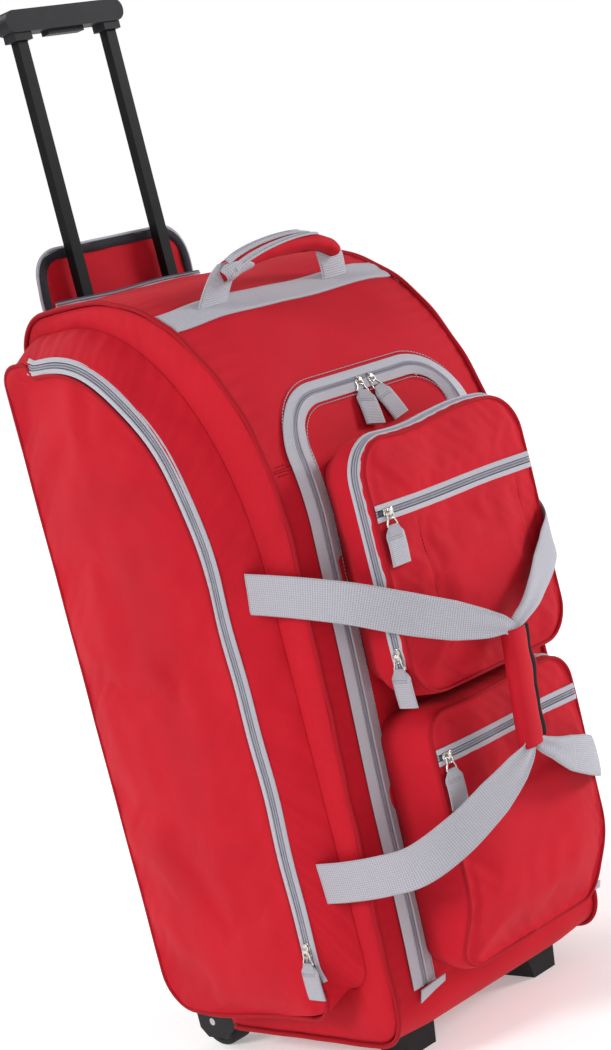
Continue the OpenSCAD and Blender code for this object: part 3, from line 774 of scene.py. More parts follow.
def star(outline, angles):
    """Points of a closed [y, z] outline at the given directions from MID"""
    d = Path(outline, closed=True)
    p = d.at(np.linspace(0, d.length, 3000)) - MID
    a = np.unwrap(np.arctan2(p[:, 1], p[:, 0]))
    order = np.argsort(a)
    a, r = a[order], np.linalg.norm(p[order], axis=1)
    ext_a, ext_r = np.r_[a - 2 * np.pi, a, a + 2 * np.pi], np.r_[r, r, r]
    radius = np.interp(angles, ext_a, ext_r)
    return MID + np.stack([np.cos(angles), np.sin(angles)], -1) * radius[..., None]


ANGLES = np.linspace(0, 2 * np.pi, 361)


def side_grid(rings):
    """Grid of points from a list of (outline points, x) rings"""
    return np.stack([np.column_stack([np.full(len(p), x) if np.ndim(x) == 0 else x, p])
                     for p, x in rings], 1)


for sx in (-1, 1):
    outer, root = star(body_outline(1.5), ANGLES), star(root_outline(), ANGLES)
    rows = []
    for t in np.linspace(0, 1, 11):
        p = outer * (1 - t) + root * t
        gap = np.linalg.norm(outer - root, axis=1)
        along = ANGLES * 330
        x = SIDE_X + 1 + 4.5 * np.sin(np.pi * t) ** 0.8 * np.clip(gap / 40, 0, 1)
        x = x + 2.2 * crumple(np.column_stack([np.full(len(p), 40.0 * sx), p]), 45.0, 5.0 + sx) \
            * np.sin(np.pi * t)
        x = x + pucker(t * gap, along, 15, 16, 0.7, sx) + pucker((1 - t) * gap, along, 19, 16, 0.7, 2 + sx)
        rows.append((p, sx * x))
    grid = side_grid(rows)
    keep = ~wheel_hole(middle(grid[..., 0]) * 0 + 150, middle(grid[..., 1]), middle(grid[..., 2]))
    obj = sheet_piece(f"side_panel_cloth_{side_word(sx)}", grid, "body_fabric", "bag", keep,
                      cad_node=f"side_panel_{side_word(sx)}")
    finish_fabric(face_outward(obj, BAG_CENTRE))


s_all = np.linspace(0, ring.length, 520)[:-1]
p_all, n_all = ring_frame(s_all)
use = ~((p_all[:, 0] > WHEEL_CUT) & (p_all[:, 1] < WHEEL_TOP))
start = int(np.argmax(~use))
order = np.r_[start:len(s_all), 0:start]
order = order[use[order]]
chunks = []
for sx in (-1, 1):
    pts = np.column_stack([np.full(len(order), sx * (SIDE_X + 2.4)), p_all[order] + n_all[order] * 1.8])
    wave = 0.7 * np.sin(s_all[order] / 23.0 + sx) + 0.5 * np.sin(s_all[order] / 9.0)
    pts[:, 1:] += n_all[order] * wave[:, None] * 0.6
    pts[:, 0] += wave * 0.5
    _, side, normal = frames_along(pts, (sx, 0, 0))
    chunks.append(swept(pts, side, normal, ring_section(2.5)))
make("piping_cord", merge(chunks), "piping", "bag", "piping")


# ---------------------------------------------------------------- side pockets
def rim_points(inset):
    """Rim of a side pocket's outer panel [y, z], from its bottom front corner up over the top"""
    front, top, back, low = -82 + inset, 746 - inset, 165 - inset, 65 + inset
    p = np.vstack([arc(front + 26, low + 26, 26, 26, 270, 180, 12),
                   arc(front + 168, top - 245, 168, 245, 180, 90, 48),
                   arc(back - 18, top - 18, 18, 18, 90, 0, 10),
                   arc(back - 34, low + 34, 34, 34, 0, -90, 12)])
    p = np.vstack([p, np.column_stack([np.linspace(back - 34, front + 26, 26)[1:], np.full(25, low)])])
    p[:, 1] -= 9 * bump(p[:, 0], 90, 110) * (1 - smooth(low, low + 90, p[:, 1]))
    return p


rim = Path(rim_points(0))


def at_rim(s, inset):
    k = np.interp(s, rim.s, np.arange(len(rim.p)))
    inset = np.broadcast_to(inset, k.shape)
    a, b = rim_points(0), rim_points(20)
    i = np.arange(len(a))
    pa = np.stack([np.interp(k, i, a[:, j]) for j in (0, 1)], -1)
    pb = np.stack([np.interp(k, i, b[:, j]) for j in (0, 1)], -1)
    return pa + (pb - pa) * (inset / 20)[..., None]


rim_s = np.linspace(0, rim.length, 420)
rim_p = at_rim(rim_s, 0)
ZIP_START = rim_s[np.argmin(np.abs(rim_p[:, 1] - 118) + 1e3 * (rim_p[:, 0] > -60))]
ZIP_END = rim_s[np.argmin(np.abs(rim_p[:, 0] - 110) + 1e3 * (rim_p[:, 1] < 700))]
ZIP_X, ZIP_INSET, ZIP_TILT = POCKET_OUT + 0.6, 7.0, math.radians(22.0)


def zip_share(s):
    """1 where the side pocket's zip runs, 0 round the rest of the rim"""
    return smooth(ZIP_START - 22, ZIP_START, s) * (1 - smooth(ZIP_END, ZIP_END + 22, s))


def wavy_rim(s, sx):
    return 1.1 * np.sin(s / 47.0 + sx) + 0.7 * np.sin(s / 19.0 + 2 * sx)


def rim_line(s, sx, inset, x):
    """A line round the rim at an inset and an x, with the rim's slight waves"""
    p = at_rim(s, inset + 0.6 * wavy_rim(s, sx))
    return np.column_stack([sx * (x + 0.5 * wavy_rim(s + 9, sx)), p])


def border(nu, nv):
    """Indices of the points along a grid's four edges"""
    return [i for i in range(nu * nv) if i // nv in (0, nu - 1) or i % nv in (0, nv - 1)]


for sx in (-1, 1):
    word, w = side_word(sx), zip_share(rim_s)
    # gusset: from its seam on the body out to the rim
    edge_p = at_rim(rim_s, 2.5 * w + 1.5 * (1 - w))
    root_p = star(root_outline(), np.unwrap(np.arctan2(edge_p[:, 1] - MID[1], edge_p[:, 0] - MID[0])))
    normal = unit(edge_p - MID)
    rows = []
    for t in np.linspace(0, 1, 12):
        p = root_p * (1 - t) + edge_p * t
        x = (SIDE_X + 1) * (1 - t) + (ZIP_X - 1.6 * w) * t
        fold = 3.0 * crumple(np.column_stack([np.full(len(p), 30 * t * sx), p]), 34.0, 21 + sx)
        fold = (fold * np.sin(np.pi * t) + pucker(t * 33, rim_s, 21, 14, 0.9, sx)
                + pucker((1 - t) * 33, rim_s, 13, 12, 0.7, 1 + sx))
        rows.append((p + normal * (3.0 * np.sin(np.pi * t) + fold)[:, None], sx * (x + 0.5 * fold)))
    obj = sheet_piece(f"side_pocket_gusset_{word}", side_grid(rows), "body_fabric", "bag")
    finish_fabric(face_outward(obj, BAG_CENTRE))

    # the zip lies on the rim, turned a little towards the front
    s = np.arange(ZIP_START - 15, ZIP_END + 16, 3.0)
    run = zip_share(s)
    teeth_line = rim_line(s, sx, ZIP_INSET * run + 2 * (1 - run), ZIP_X - 2.5 * (1 - run))
    outward = unit(at_rim(s, -5) - at_rim(s, 5))
    normals = np.column_stack([np.full(len(s), sx * math.cos(ZIP_TILT)), outward * math.sin(ZIP_TILT)])
    whole_zip(f"side_zip_{word}", teeth_line, normals, "bag", 8.0, f"side_zip_{word}")

    # piping and the stuffed outer panel, whose rows run from the cord's front to its back
    cord = rim_line(rim_s, sx, 15.5 * w + 1.5 * (1 - w), POCKET_OUT + 2.6 * w + 0.3)
    tube_piece(f"side_pocket_piping_{word}", cord, 2.3, "piping", "bag", up=(sx, 0, 0), closed=True)
    z_low, z_high = cord[:, 2].min() + 0.5, cord[:, 2].max() - 0.5
    rows_z = np.linspace(z_low, z_high, 112)
    ends = []
    for z in rows_z:
        crossing = sorted([a + (b - a) * ((z - a[2]) / (b[2] - a[2])) for a, b in zip(cord[:-1], cord[1:])
                           if (a[2] - z) * (b[2] - z) <= 0 and abs(a[2] - b[2]) > 1e-9],
                          key=lambda c: c[1])
        ends.append((crossing[0], crossing[-1]))
    fronts, backs = np.array(ends).transpose(1, 0, 2)
    across = np.linspace(0, 1, 40)
    grid = fronts[:, None] * (1 - across[:, None]) + backs[:, None] * across[:, None]
    width = np.linalg.norm(backs - fronts, axis=1)[:, None]
    d_side = np.minimum(across, 1 - across)[None, :] * width
    d_end = np.minimum(rows_z - z_low, z_high - rows_z)[:, None]
    d = np.minimum(d_side, np.broadcast_to(d_end, d_side.shape))
    crown = 7.5 * smooth(-12, 75, d) - 7.5 * smooth(-12, 75, 0)
    crease = (2.4 * crumple(grid * [1, 1.7, 0.5], 62.0, 31 + sx)
              + 0.9 * crumple(grid * [1, 1, 0.8], 24.0, 41 + sx))
    along = np.broadcast_to(rows_z[:, None], d.shape)
    ripple = pucker(d, along + grid[..., 1], 23, 22, 1.1, sx)
    grid = grid + np.array([sx, 0, 0]) * (crown + (crease + ripple) * smooth(0, 26, d))[..., None]
    panel = sheet_piece(f"side_pocket_panel_{word}", grid, "body_fabric", "bag",
                        cad_node=f"side_pocket_{word}", uv=grid[..., [1, 2]])
    settle(face_outward(panel, BAG_CENTRE), border(*grid.shape[:2]), slack=0.012, pressure=0.12)
    finish_fabric(panel)


# ---------------------------------------------------------------- lid and main zip
def front_grid(z, half, nx, lift, soft=1.0):
    """Rows of the front at heights z, each half wide, lifted off the surface"""
    across = np.linspace(-1, 1, nx)
    X = half[:, None] * across[None, :]
    Z = np.broadcast_to(z[:, None], X.shape)
    p, n = on_front(X, Z, lift)
    wave = 1.2 * crumple(p, 55.0, 8.8) * soft
    return p + n * wave[..., None]


z_rows = np.linspace(TEETH_LOW, TEETH_TOP - 8.5, 96)
lid_grid = front_grid(z_rows, lid_half_width(z_rows, -8.5), 44, 0.5)
obj = sheet_piece("lid_cloth", lid_grid, "body_fabric", "lid", cad_node="lid_panel",
                  uv=lid_grid[..., [0, 2]])
finish_fabric(face_outward(obj, BAG_CENTRE))
z_rows = np.linspace(TEETH_LOW + 6, TEETH_TOP - 14, 60)
lid_back = front_grid(z_rows, lid_half_width(z_rows, -14), 30, -3.0, 0.5)
finish_fabric(sheet_piece("lid_lining", lid_back, "lining", "lid", slot="body_fabric"), 0.8, 0)

teeth = u_path()
s = teeth.even(3.0)
xz = teeth.at(s)
zip_wave = 0.5 * np.sin(s / 37.0)
main_line, main_normal = on_front(xz[:, 0] + 0.6 * np.sin(s / 51.0), xz[:, 1], 1.2 + zip_wave)
shown = 1 - 0.26 * smooth(TEETH_TOP - TEETH_R, TEETH_TOP - 12, xz[:, 1])
zip_tape("main_zip_tape_outer", main_line, main_normal, 1, "bag", cad_node="main_zip_outer", t=1.3,
         share=shown)
zip_teeth("main_zip_coil_outer", main_line, main_normal, 1, "bag")
zip_tape("main_zip_tape_inner", main_line, main_normal, -1, "lid", cad_node="main_zip_inner", t=1.3,
         share=shown)
zip_teeth("main_zip_coil_inner", main_line, main_normal, -1, "lid")

for sx in (-1, 1):
    foot, out = on_front(sx * TEETH_HALF, TEETH_LOW, 2.2)
    reach = 19 if sx < 0 else 34
    tail = spline([foot + [-10, -1, -8], foot + [-4, -3, -6], foot + [reach * 0.4, -5, -3],
                   foot + [reach, -5 - reach / 4, 1]], 16)
    taper = np.linspace(6.5, 3.5, 16)[:, None]
    grid = tail[:, None] + np.array([0.1, -0.25, 1.0]) * (taper * np.linspace(-1, 1, 7))[..., None]
    flap = sheet_piece(f"main_zip_tail_{side_word(sx)}", grid, "zip_tape", "bag", slot="zip_tape")
    thicken(flap, 1.3, offset=0)


# ---------------------------------------------------------------- front pockets
def pocket_shape(spec, shrink=0.0):
    return rounded_rect(spec["half"] - shrink, spec["z0"] + shrink, spec["z1"] - shrink,
                        max(spec["r"] - shrink, 4), 9)


def outline_normals(path, s):
    t = unit(path.at(np.mod(s + 1.5, path.length)) - path.at(np.mod(s - 1.5, path.length)))
    return np.stack([-t[:, 1], t[:, 0]], -1)


def shaped(spec, xz):
    """Outline points [x, z] of a pocket with the slight wave of its top edge"""
    x, z = xz[..., 0], xz[..., 1]
    rise = bump(x, 45, 75) - 0.4 * bump(x, -45, 45)
    return np.stack([x, z + spec["wave"] * rise * smooth(spec["z1"] - 90, spec["z1"], z)], -1)


def leaning(spec, z):
    """How far back the face stands at height z, because the pocket's foot hangs in"""
    return spec["lean"] * (1 - smooth(spec["z0"], spec["z0"] + 100, z)) ** 1.5


def front_pocket(tag, spec, crown, profile, seed):
    """A box pocket: its gusset follows profile, a list of (offset, depth), down to the lid"""
    path = Path(pocket_shape(spec), closed=True)
    s = np.linspace(0, path.length, 240)
    n = outline_normals(path, s)
    xz = shaped(spec, path.at(s))
    columns = []
    depth = spec["front"]
    for k, (offset, y) in enumerate(profile):
        t = k / (len(profile) - 1)
        q = xz + n * offset
        wrinkle = (1.5 * crumple(np.column_stack([q, np.full(len(q), y or 0)]), 30.0, seed)
                   + pucker(t * 40, s, 18, 15, 0.8, seed)) * np.sin(np.pi * t)
        q = q + n * wrinkle[:, None]
        back = on_front(q[:, 0], q[:, 1], 0.4)[0][:, 1]
        yy = back if y is None else np.minimum(leaning(spec, xz[:, 1]) * (1 - t) - y, back)
        columns.append(np.column_stack([q[:, 0], yy, q[:, 1]]))
    obj = sheet_piece(f"{tag}_gusset_cloth", np.stack(columns, 1), "body_fabric", "lid")
    finish_fabric(face_outward(obj, (0, SHIFT * 0.001 - 0.15, (spec["z0"] + spec["z1"]) / 2000)))
    # piping round the front panel
    shape = Path(pocket_shape(spec, EDGE_IN), closed=True)
    sp = np.linspace(0, shape.length, 260)
    edge = shaped(spec, shape.at(sp))
    wave = 0.6 * np.sin(sp / 31.0 + seed)
    rim3 = np.column_stack([edge[:, 0], leaning(spec, edge[:, 1]) - (depth - EDGE_IN + wave), edge[:, 1]])
    tube_piece(f"{tag}_piping", rim3, 1.9, "piping", "lid", up=(0, -1, 0), closed=True)
    # front panel
    zs = np.linspace(spec["z0"] + EDGE_IN, spec["z1"] - EDGE_IN, 56)
    r = spec["r"]
    up = np.maximum(np.maximum(zs - (spec["z1"] - r), (spec["z0"] + r) - zs), 0)
    half = spec["half"] - EDGE_IN - r + np.sqrt(np.maximum(r * r - up * up, 0))
    across = np.linspace(-1, 1, 50)
    X = half[:, None] * across
    Z = np.broadcast_to(zs[:, None], X.shape)
    XZ = shaped(spec, np.stack([X, Z], -1))
    d = np.minimum(half[:, None] * (1 - np.abs(across)),
                   np.minimum(zs - spec["z0"], spec["z1"] - zs)[:, None])
    out = crown * smooth(-8, 60, d) - crown * smooth(-8, 60, 0)
    out = out + (2.4 * crumple(np.stack([X, 0 * X, Z * 0.8], -1), 62.0, seed)
                 + 1.0 * crumple(np.stack([X, 0 * X, Z], -1), 23.0, seed + 3)
                 + pucker(d, X + Z, 19, 18, 1.1, seed)) * smooth(0, 20, d)
    out = out - 1.6 * bump(d, 7, 7)
    grid = np.stack([X, leaning(spec, Z) - (depth - EDGE_IN + out), XZ[..., 1]], -1)
    # the face lies flat under its zip and a little below it
    flat = np.maximum(bump(Z, spec["zip"], 26), 0.6 * bump(Z, spec["zip"] - 30, 34))
    grid[..., 1] = grid[..., 1] * (1 - flat) - (depth + 0.3) * flat
    return grid


def panel_with_zip(tag, spec, grid, darts=()):
    """The front panel, settled between its seams and darts, and the zip across it"""
    nz, nx = grid.shape[:2]
    dart_lines, held = [], set(border(nz, nx))
    for x, low in darts:
        j = int(np.argmin(np.abs(grid[nz // 2, :, 0] - x)))
        rows = [i for i in range(nz) if low < grid[i, j, 2] < spec["zip"] - 12]
        grid[rows, j, 1] += 0.9
        held |= {i * nx + j for i in rows}
        dart_lines.append((grid[rows, j] + [0, -0.8, 0], np.array([0, -1.0, 0])))
    obj = sheet_piece(f"{tag}_pocket_panel", grid, "body_fabric", "lid", cad_node=f"{tag}_pocket",
                      uv=grid[..., [0, 2]])
    under_zip = np.abs(grid[:, 0, 2] - spec["zip"]) < 10
    held |= {i for i in range(nz * nx) if under_zip[i // nx]}
    settle(face_outward(obj, BAG_CENTRE), sorted(held), slack=0.014, pressure=0.1)
    finish_fabric(obj)
    if dart_lines:
        stitches(f"{tag}_pocket_darts", dart_lines, "lid", pitch=3.6, length=2.6, r=0.35)
    half, y, z = spec["half"] - 0.8, -spec["front"], spec["zip"]
    xs = np.arange(-half, half + 1, 3.0)
    line = np.column_stack([xs, np.full(len(xs), y - 1.5), np.full(len(xs), z)])
    line[:, 2] += 0.5 * np.sin(xs / 29.0)
    whole_zip(f"{tag}_front_zip", line, (0, -1, 0), "lid", 8.0, f"{tag}_front_zip")
    tail = np.array([[-half + 1, y - 2.8, z], [-half + 9, y - 2.8, z]])
    end = swept(tail, np.array([[0, 0, 1.0]] * 2), np.array([[0, -1.0, 0]] * 2),
                [(-2.6, 0), (2.6, 0), (1.6, 0.7), (-1.6, 0.7)])
    make(f"{tag}_front_zip_end", end, "zip_gap", "lid", slot="zip_tape")


def gusset_zip(name, spec, where, outline, out, y, tilt, half, cad_node=None):
    """A zip along the part of a pocket's gusset where the outline's points [x, z] meet where"""
    path = Path(pocket_shape(spec), closed=True)
    s = np.linspace(0, path.length, 600)
    on = where(path.at(s))
    s = np.arange(s[np.argmax(on)], s[len(on) - 1 - np.argmax(on[::-1])], 3.0)
    xz, n = outline(path.at(s)), outline_normals(path, s)
    line = np.column_stack([xz[:, 0] + n[:, 0] * out, np.full(len(s), y), xz[:, 1] + n[:, 1] * out])
    whole_zip(name, line, np.column_stack([n[:, 0], tilt + 0 * s, n[:, 1]]), "lid", half, cad_node)


EDGE_IN = 0.6                        # the panels and their piping lie this far inside the outline
upper_profile = [(0, 226.8), (1.5, 221), (1.6, 213), (1.8, 205), (2.2, 196), (1.6, 187), (-3, 180),
                 (-9, 172), (-14, None)]
panel_with_zip("upper", UPPER, front_pocket("upper_pocket", UPPER, 7.0, upper_profile, 51.0),
               [(-62, 400), (86, 430)])
lower_profile = [(0, 220.8), (2.0, 210), (2.8, 198), (2.4, 186), (1.2, 175), (-1, 163), (-3, None)]
panel_with_zip("lower", LOWER, front_pocket("lower_pocket", LOWER, 8.0, lower_profile, 77.0))
# the upper pocket's own zip runs up its left gusset, over the top and down the right
gusset_zip("upper_side_zip", UPPER, lambda xz: xz[:, 1] > UPPER["z0"] + 31, lambda xz: shaped(UPPER, xz),
           2.4, -217.0, -0.36, 7.2, "upper_side_zip")
# a short zip on the lower pocket's right gusset
gusset_zip("lower_side_zip", LOWER, lambda xz: (xz[:, 0] > 74) & (xz[:, 1] > 236), lambda xz: xz,
           3.2, -203.0, 0.0, 7.0)


# ---------------------------------------------------------------- webbing
def strap(name, points, widths, width, body, curls, cad_node=None, narrow=None, t=WEB_T, n=90):
    """Flat webbing along a curve: widths say which way its width points, curls roll it up and
    narrow gathers it into pleats"""
    p = spline(points, n)
    tk = np.r_[0, np.cumsum(np.linalg.norm(np.diff(np.array(points, float), axis=0), axis=1) ** 0.5)]
    tk = tk / tk[-1]
    f = np.linspace(0, 1, n)
    w = np.stack([np.interp(f, tk, np.array(widths, float)[:, j]) for j in range(3)], -1)
    curl = np.interp(f, tk, curls)
    gather = np.interp(f, tk, narrow) if narrow is not None else np.ones(n)
    tangent = unit(np.gradient(p, axis=0))
    w = unit(w - tangent * (w * tangent).sum(1)[:, None])
    up = np.cross(tangent, w)
    u = np.linspace(-width / 2, width / 2, 17)
    pleat = 0.09 * width * (1 - gather) * smooth(0.25, 0.6, gather)
    a = u[None, :] * curl[:, None] / width
    r = width / curl[:, None]
    across = np.sin(a) * r * gather[:, None]
    lift = ((r - np.cos(a) * r) * gather[:, None]
            + pleat[:, None] * np.cos(3 * np.pi * u / width)[None, :])
    edge = 1 - 0.55 * np.abs(u / (width / 2)) ** 8
    top, under = [p[:, None] + w[:, None] * across[..., None]
                  + up[:, None] * (lift + side * t * edge[None, :])[..., None] for side in (0.5, -0.5)]
    loop = np.concatenate([top, under[:, ::-1]], 1)
    k = loop.shape[1]
    uv = np.stack([np.repeat(run_lengths(p)[:, None], k, 1),
                   np.repeat(np.r_[u, u[::-1]][None, :], n, 0)], -1)
    shape = loop.reshape(-1, 3), flat_tube_faces(n, k), uv.reshape(-1, 2)
    return make(name, shape, "webbing", body, cad_node)


HAUL_W = 40.0
HAUL = {
    ("left", "upper"): (
        [(-171, -99, 488), (-168, -128, 484), (-160, -162, 477), (-141, -201, 464), (-108, -234, 443),
         (-70, -253, 424), (-40, -264, 411), (-20, -269, 403), (-11, -269, 393), (-9, -268, 376),
         (-15, -268, 344), (-19, -268, 310)],
        7, [1, 1, 1, 1, 1, 0.93, 0.68, 0.4, 0.3, 0.3, 0.3, 0.3]),
    ("left", "lower"): (
        [(-171, -99, 201), (-168, -130, 203), (-160, -170, 207), (-146, -205, 213), (-118, -237, 232),
         (-78, -257, 256), (-48, -266, 274), (-30, -269, 286), (-23, -268, 296), (-19, -268, 312)],
        7, [1, 1, 1, 1, 1, 0.95, 0.72, 0.42, 0.3, 0.3]),
    ("right", "upper"): (
        [(171, -99, 484), (160, -150, 484), (140, -194, 480), (121, -223, 472), (109, -236, 461),
         (92, -243, 447), (68, -250, 433), (42, -258, 419), (16, -264, 408), (-2, -264, 399),
         (-8, -263, 388), (-9, -263, 374), (-15, -263, 344), (-19, -263, 310)],
        9, [1, 1, 1, 1, 1, 1, 0.92, 0.72, 0.45, 0.34, 0.3, 0.3, 0.3, 0.3]),
    ("right", "lower"): (
        [(171, -99, 204), (162, -142, 212), (138, -192, 223), (110, -226, 232), (86, -247, 240),
         (60, -260, 250), (30, -267, 262), (6, -269, 275), (-10, -267, 286), (-17, -264, 298),
         (-19, -263, 312)],
        8, [1, 1, 1, 1, 1, 1, 0.86, 0.55, 0.36, 0.3, 0.3])}
for (word, tag), (points, upright, narrow) in HAUL.items():
    turned = len(points) - upright
    way = -1 if tag == "lower" else 1
    widths = [(0, 0, 1)] * upright + [(way * 0.8 * (k + 1) / turned, 0, 1 - (k + 1) / turned)
                                      for k in range(turned)]
    obj = strap(f"haul_{word}_{tag}", points, widths, HAUL_W, f"haul_loop_{word}",
                np.linspace(0.08, 0.5, len(points)),
                cad_node=f"haul_strap_{word}" if tag == "upper" else None, narrow=narrow, n=110)
    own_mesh(obj)


def wrap_line(z):
    """C-shaped section of the padded sleeve [x, y] at height z, open towards the right"""
    wob = 1.3 * math.sin(z / 9.0) + 0.9 * math.sin(z / 4.7 + 1)
    mid = [(11.5 + 0.4 * wob, -270.2), (4, -272.6), (-4, -273.2), (-10, -271.4), (-12.4, -266.5),
           (-11, -260.5), (-6, -257.6), (3, -256.8), (13, -257.4), (21, -259.0), (27.5 + wob, -261.6)]
    line = spline([(x, y, 0) for x, y in mid], 34)[:, :2]
    return line + [0.12 * (z - 342) - 15.5, 0]


WRAP_LOW, WRAP_TOP = 287, 398
sections = []
zs = np.linspace(WRAP_LOW, WRAP_TOP, 44)
for z in zs:
    line = wrap_line(z)
    t = unit(np.gradient(line, axis=0))
    n = np.stack([-t[:, 1], t[:, 0]], -1)
    lip = 1 - 0.5 * np.exp(-min(z - WRAP_LOW, WRAP_TOP - z) / 3.0)
    puff = 1.2 + 0.3 * math.sin(z / 8.0) * bump(z, 342, 54)
    out, back = line - n * puff * lip, line + n * puff * lip
    sections.append(np.column_stack([np.vstack([out, back[::-1]]), np.full(2 * len(line), z)]))
grid = np.array(sections)
uv = np.stack(np.meshgrid(zs, np.linspace(0, 80, grid.shape[1]), indexing="ij"), -1)
sleeve = grid.reshape(-1, 3), flat_tube_faces(*grid.shape[:2]), uv.reshape(-1, 2)
wrap = make("haul_wrap_sleeve", sleeve, "grip_fabric", "haul_loop_left", "haul_wrap")
strip = np.array([np.column_stack([wrap_line(z)[22:33] + [0, -2.1], np.full(11, z)]) for z in zs[1:-1]])
hook = sheet_piece("haul_wrap_hook", strip, "hook", "haul_loop_left", slot="grip_fabric")
thicken(hook, 1.2)
for obj in (wrap, hook):
    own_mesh(obj)

# top strap
top_s = ring_s(-56, TOP_Z - 38)
grid, *_ = shell_points(np.linspace(top_s - 16, top_s + 16, 9),
                        np.linspace(-(SIDE_X - 2), SIDE_X - 2, 90), 1.6)
obj = sheet_piece("top_strap_webbing", grid.transpose(1, 0, 2), "webbing", "bag", cad_node="top_strap")
thicken(face_outward(obj, BAG_CENTRE), WEB_T, 0)


# ---------------------------------------------------------------- carry handle
arch = spline([(-74, -63, 781), (-60, -65, 787.5), (-36, -67, 793), (0, -68, 796.5), (36, -68, 796),
               (62, -66, 791.5), (76, -64, 786), (85, -62, 779)], 72)
_, side, normal = frames_along(arch, (0, -0.15, 1))
a = np.radians(np.arange(0, 360, 12))
base = np.stack([np.sign(np.cos(a)) * np.abs(np.cos(a)) ** 0.8 * 14.0, np.sin(a) * 8.4], -1)
f = np.linspace(0, 1, len(arch))


def pad_surface(grow):
    """Points of the padded grip's surface, grown by a factor, as a grid along and round it"""
    swell = 0.86 + 0.14 * np.sin(np.pi * f) ** 0.5 + 0.02 * np.sin(f * 37)
    size = grow * swell * (1 - 0.22 * (np.exp(-f / 0.02) + np.exp(-(1 - f) / 0.02)))
    v = (arch[:, None] + side[:, None] * base[None, :, :1] * size[:, None, None]
         + normal[:, None] * base[None, :, 1:] * size[:, None, None])
    crinkle = 0.8 * crumple(v * [0.5, 1, 1], 12.0, 3.3)
    return v + (v - arch[:, None]) / 10.0 * crinkle[..., None]


k = len(base)
uv = np.stack(np.meshgrid(f * 170, a * 11, indexing="ij"), -1)
pad = pad_surface(1.0).reshape(-1, 3), tube_faces(len(arch), k), uv.reshape(-1, 2)
grip = make("carry_grip_pad", pad, "grip_fabric", "carry_handle", "carry_grip")


def carry_leg(word, points, halves, cad_node=None):
    """One flat leg of the carry strap, from the top strap up into the pad's end"""
    centre = spline(points, 26)
    half = np.interp(np.linspace(0, 1, 26), np.linspace(0, 1, len(halves)), halves)
    u = np.linspace(-1, 1, 11)
    bow = 1.6 * np.sin(np.linspace(0, np.pi, 26))[:, None] * (1 - u**2)
    grid = np.stack([centre[:, None, 0] + half[:, None] * u, centre[:, None, 1] - bow,
                     centre[:, None, 2] + 0 * bow], -1)
    obj = sheet_piece(f"carry_leg_{word}", grid, "webbing", "carry_handle", slot="webbing",
                      cad_node=cad_node)
    thicken(obj, 1.8, offset=0)


carry_leg("left", [(-90, -57, 743), (-89, -57.5, 752), (-84, -59, 763), (-77, -62, 775), (-70, -66, 786),
                   (-62, -69, 793)], [19, 19, 18.5, 18, 17, 16], "carry_strap")
carry_leg("right", [(83, -57, 743), (83, -57.5, 752), (83, -59, 763), (82, -60, 774), (80, -61, 784)],
          [17, 17, 17, 17.5, 17.5])
# the left leg folds slantwise round the pad's end, then runs on along its top
wrap_grid = pad_surface(1.13)
reach = 8 + 9 * np.cos(a - 3.9)
cap = np.array([[[np.interp(t * reach[j], np.arange(len(arch)), wrap_grid[:, j, c]) for c in range(3)]
                 for j in [*range(k), 0]] for t in np.linspace(0, 1, 12)])
thicken(sheet_piece("carry_grip_fold", cap, "webbing", "carry_handle"), 1.4, 0)
spine, up, out_side = arch[6:52], normal[6:52], side[6:52]
lean = np.radians(np.linspace(52, 8, 46))[:, None]
out = up * np.cos(lean) - out_side * np.sin(lean)
across = -out_side * np.cos(lean) - up * np.sin(lean)
top_line = spine + up * 9.6 * np.cos(lean) - out_side * 14.6 * np.sin(lean)
seam_lines = []
for tag, off in (("a", -5.2), ("b", 5.2)):
    strap(f"carry_grip_strip_{tag}", (top_line + across * off)[::5], across[::5], 7.4, "carry_handle",
          [0.5] * 10, n=60, t=2.0)
    seam_lines.append((top_line[4:-4] + across[4:-4] * off * 1.3 + out[4:-4] * 1.3, out[4:-4]))
stitches("carry_grip_stitches", seam_lines, "carry_handle", "grey_thread", "webbing", pitch=3.4,
         length=2.4)


# ---------------------------------------------------------------- cover flap at the back
FLAP_Y, FLAP_LOW, FLAP_TOP, FLAP_HALF, FLAP_R = 177.0, 788, 850, 103.0, 30.0


def flap_half(z, inset):
    """Half width of the flap at height z, drawn in by inset; it widens a little towards its hinge"""
    r = FLAP_R - inset * 0.6
    up = np.clip(z - (FLAP_TOP - inset - r), 0, r)
    return FLAP_HALF - inset - r + np.sqrt(np.maximum(r * r - up * up, 0)) - 0.03 * (z - FLAP_LOW - 1)


zs = np.linspace(FLAP_LOW, FLAP_TOP - 5.5, 26)
across = np.linspace(-1, 1, 60)
X = flap_half(zs, 5.5)[:, None] * across
Z = np.broadcast_to(zs[:, None], X.shape)
calm = smooth(4, 20, FLAP_TOP - 5.5 - Z) * smooth(4, 20, flap_half(Z, 5.5) - np.abs(X))
Y = FLAP_Y + 0.6 + calm * (0.8 * np.sin(X / 13.0) * smooth(FLAP_LOW, FLAP_LOW + 24, Z) + 1.0 * crumple(
    np.stack([X, 0 * X, Z * 0.35], -1), 26.0, 9.1))
grid = np.stack([X, Y, Z], -1)
flap = sheet_piece("cover_flap_cloth", grid, "body_fabric", "cover_flap", cad_node="cover_flap",
                   uv=grid[..., [0, 2]])
finish_fabric(flap, 2.6)


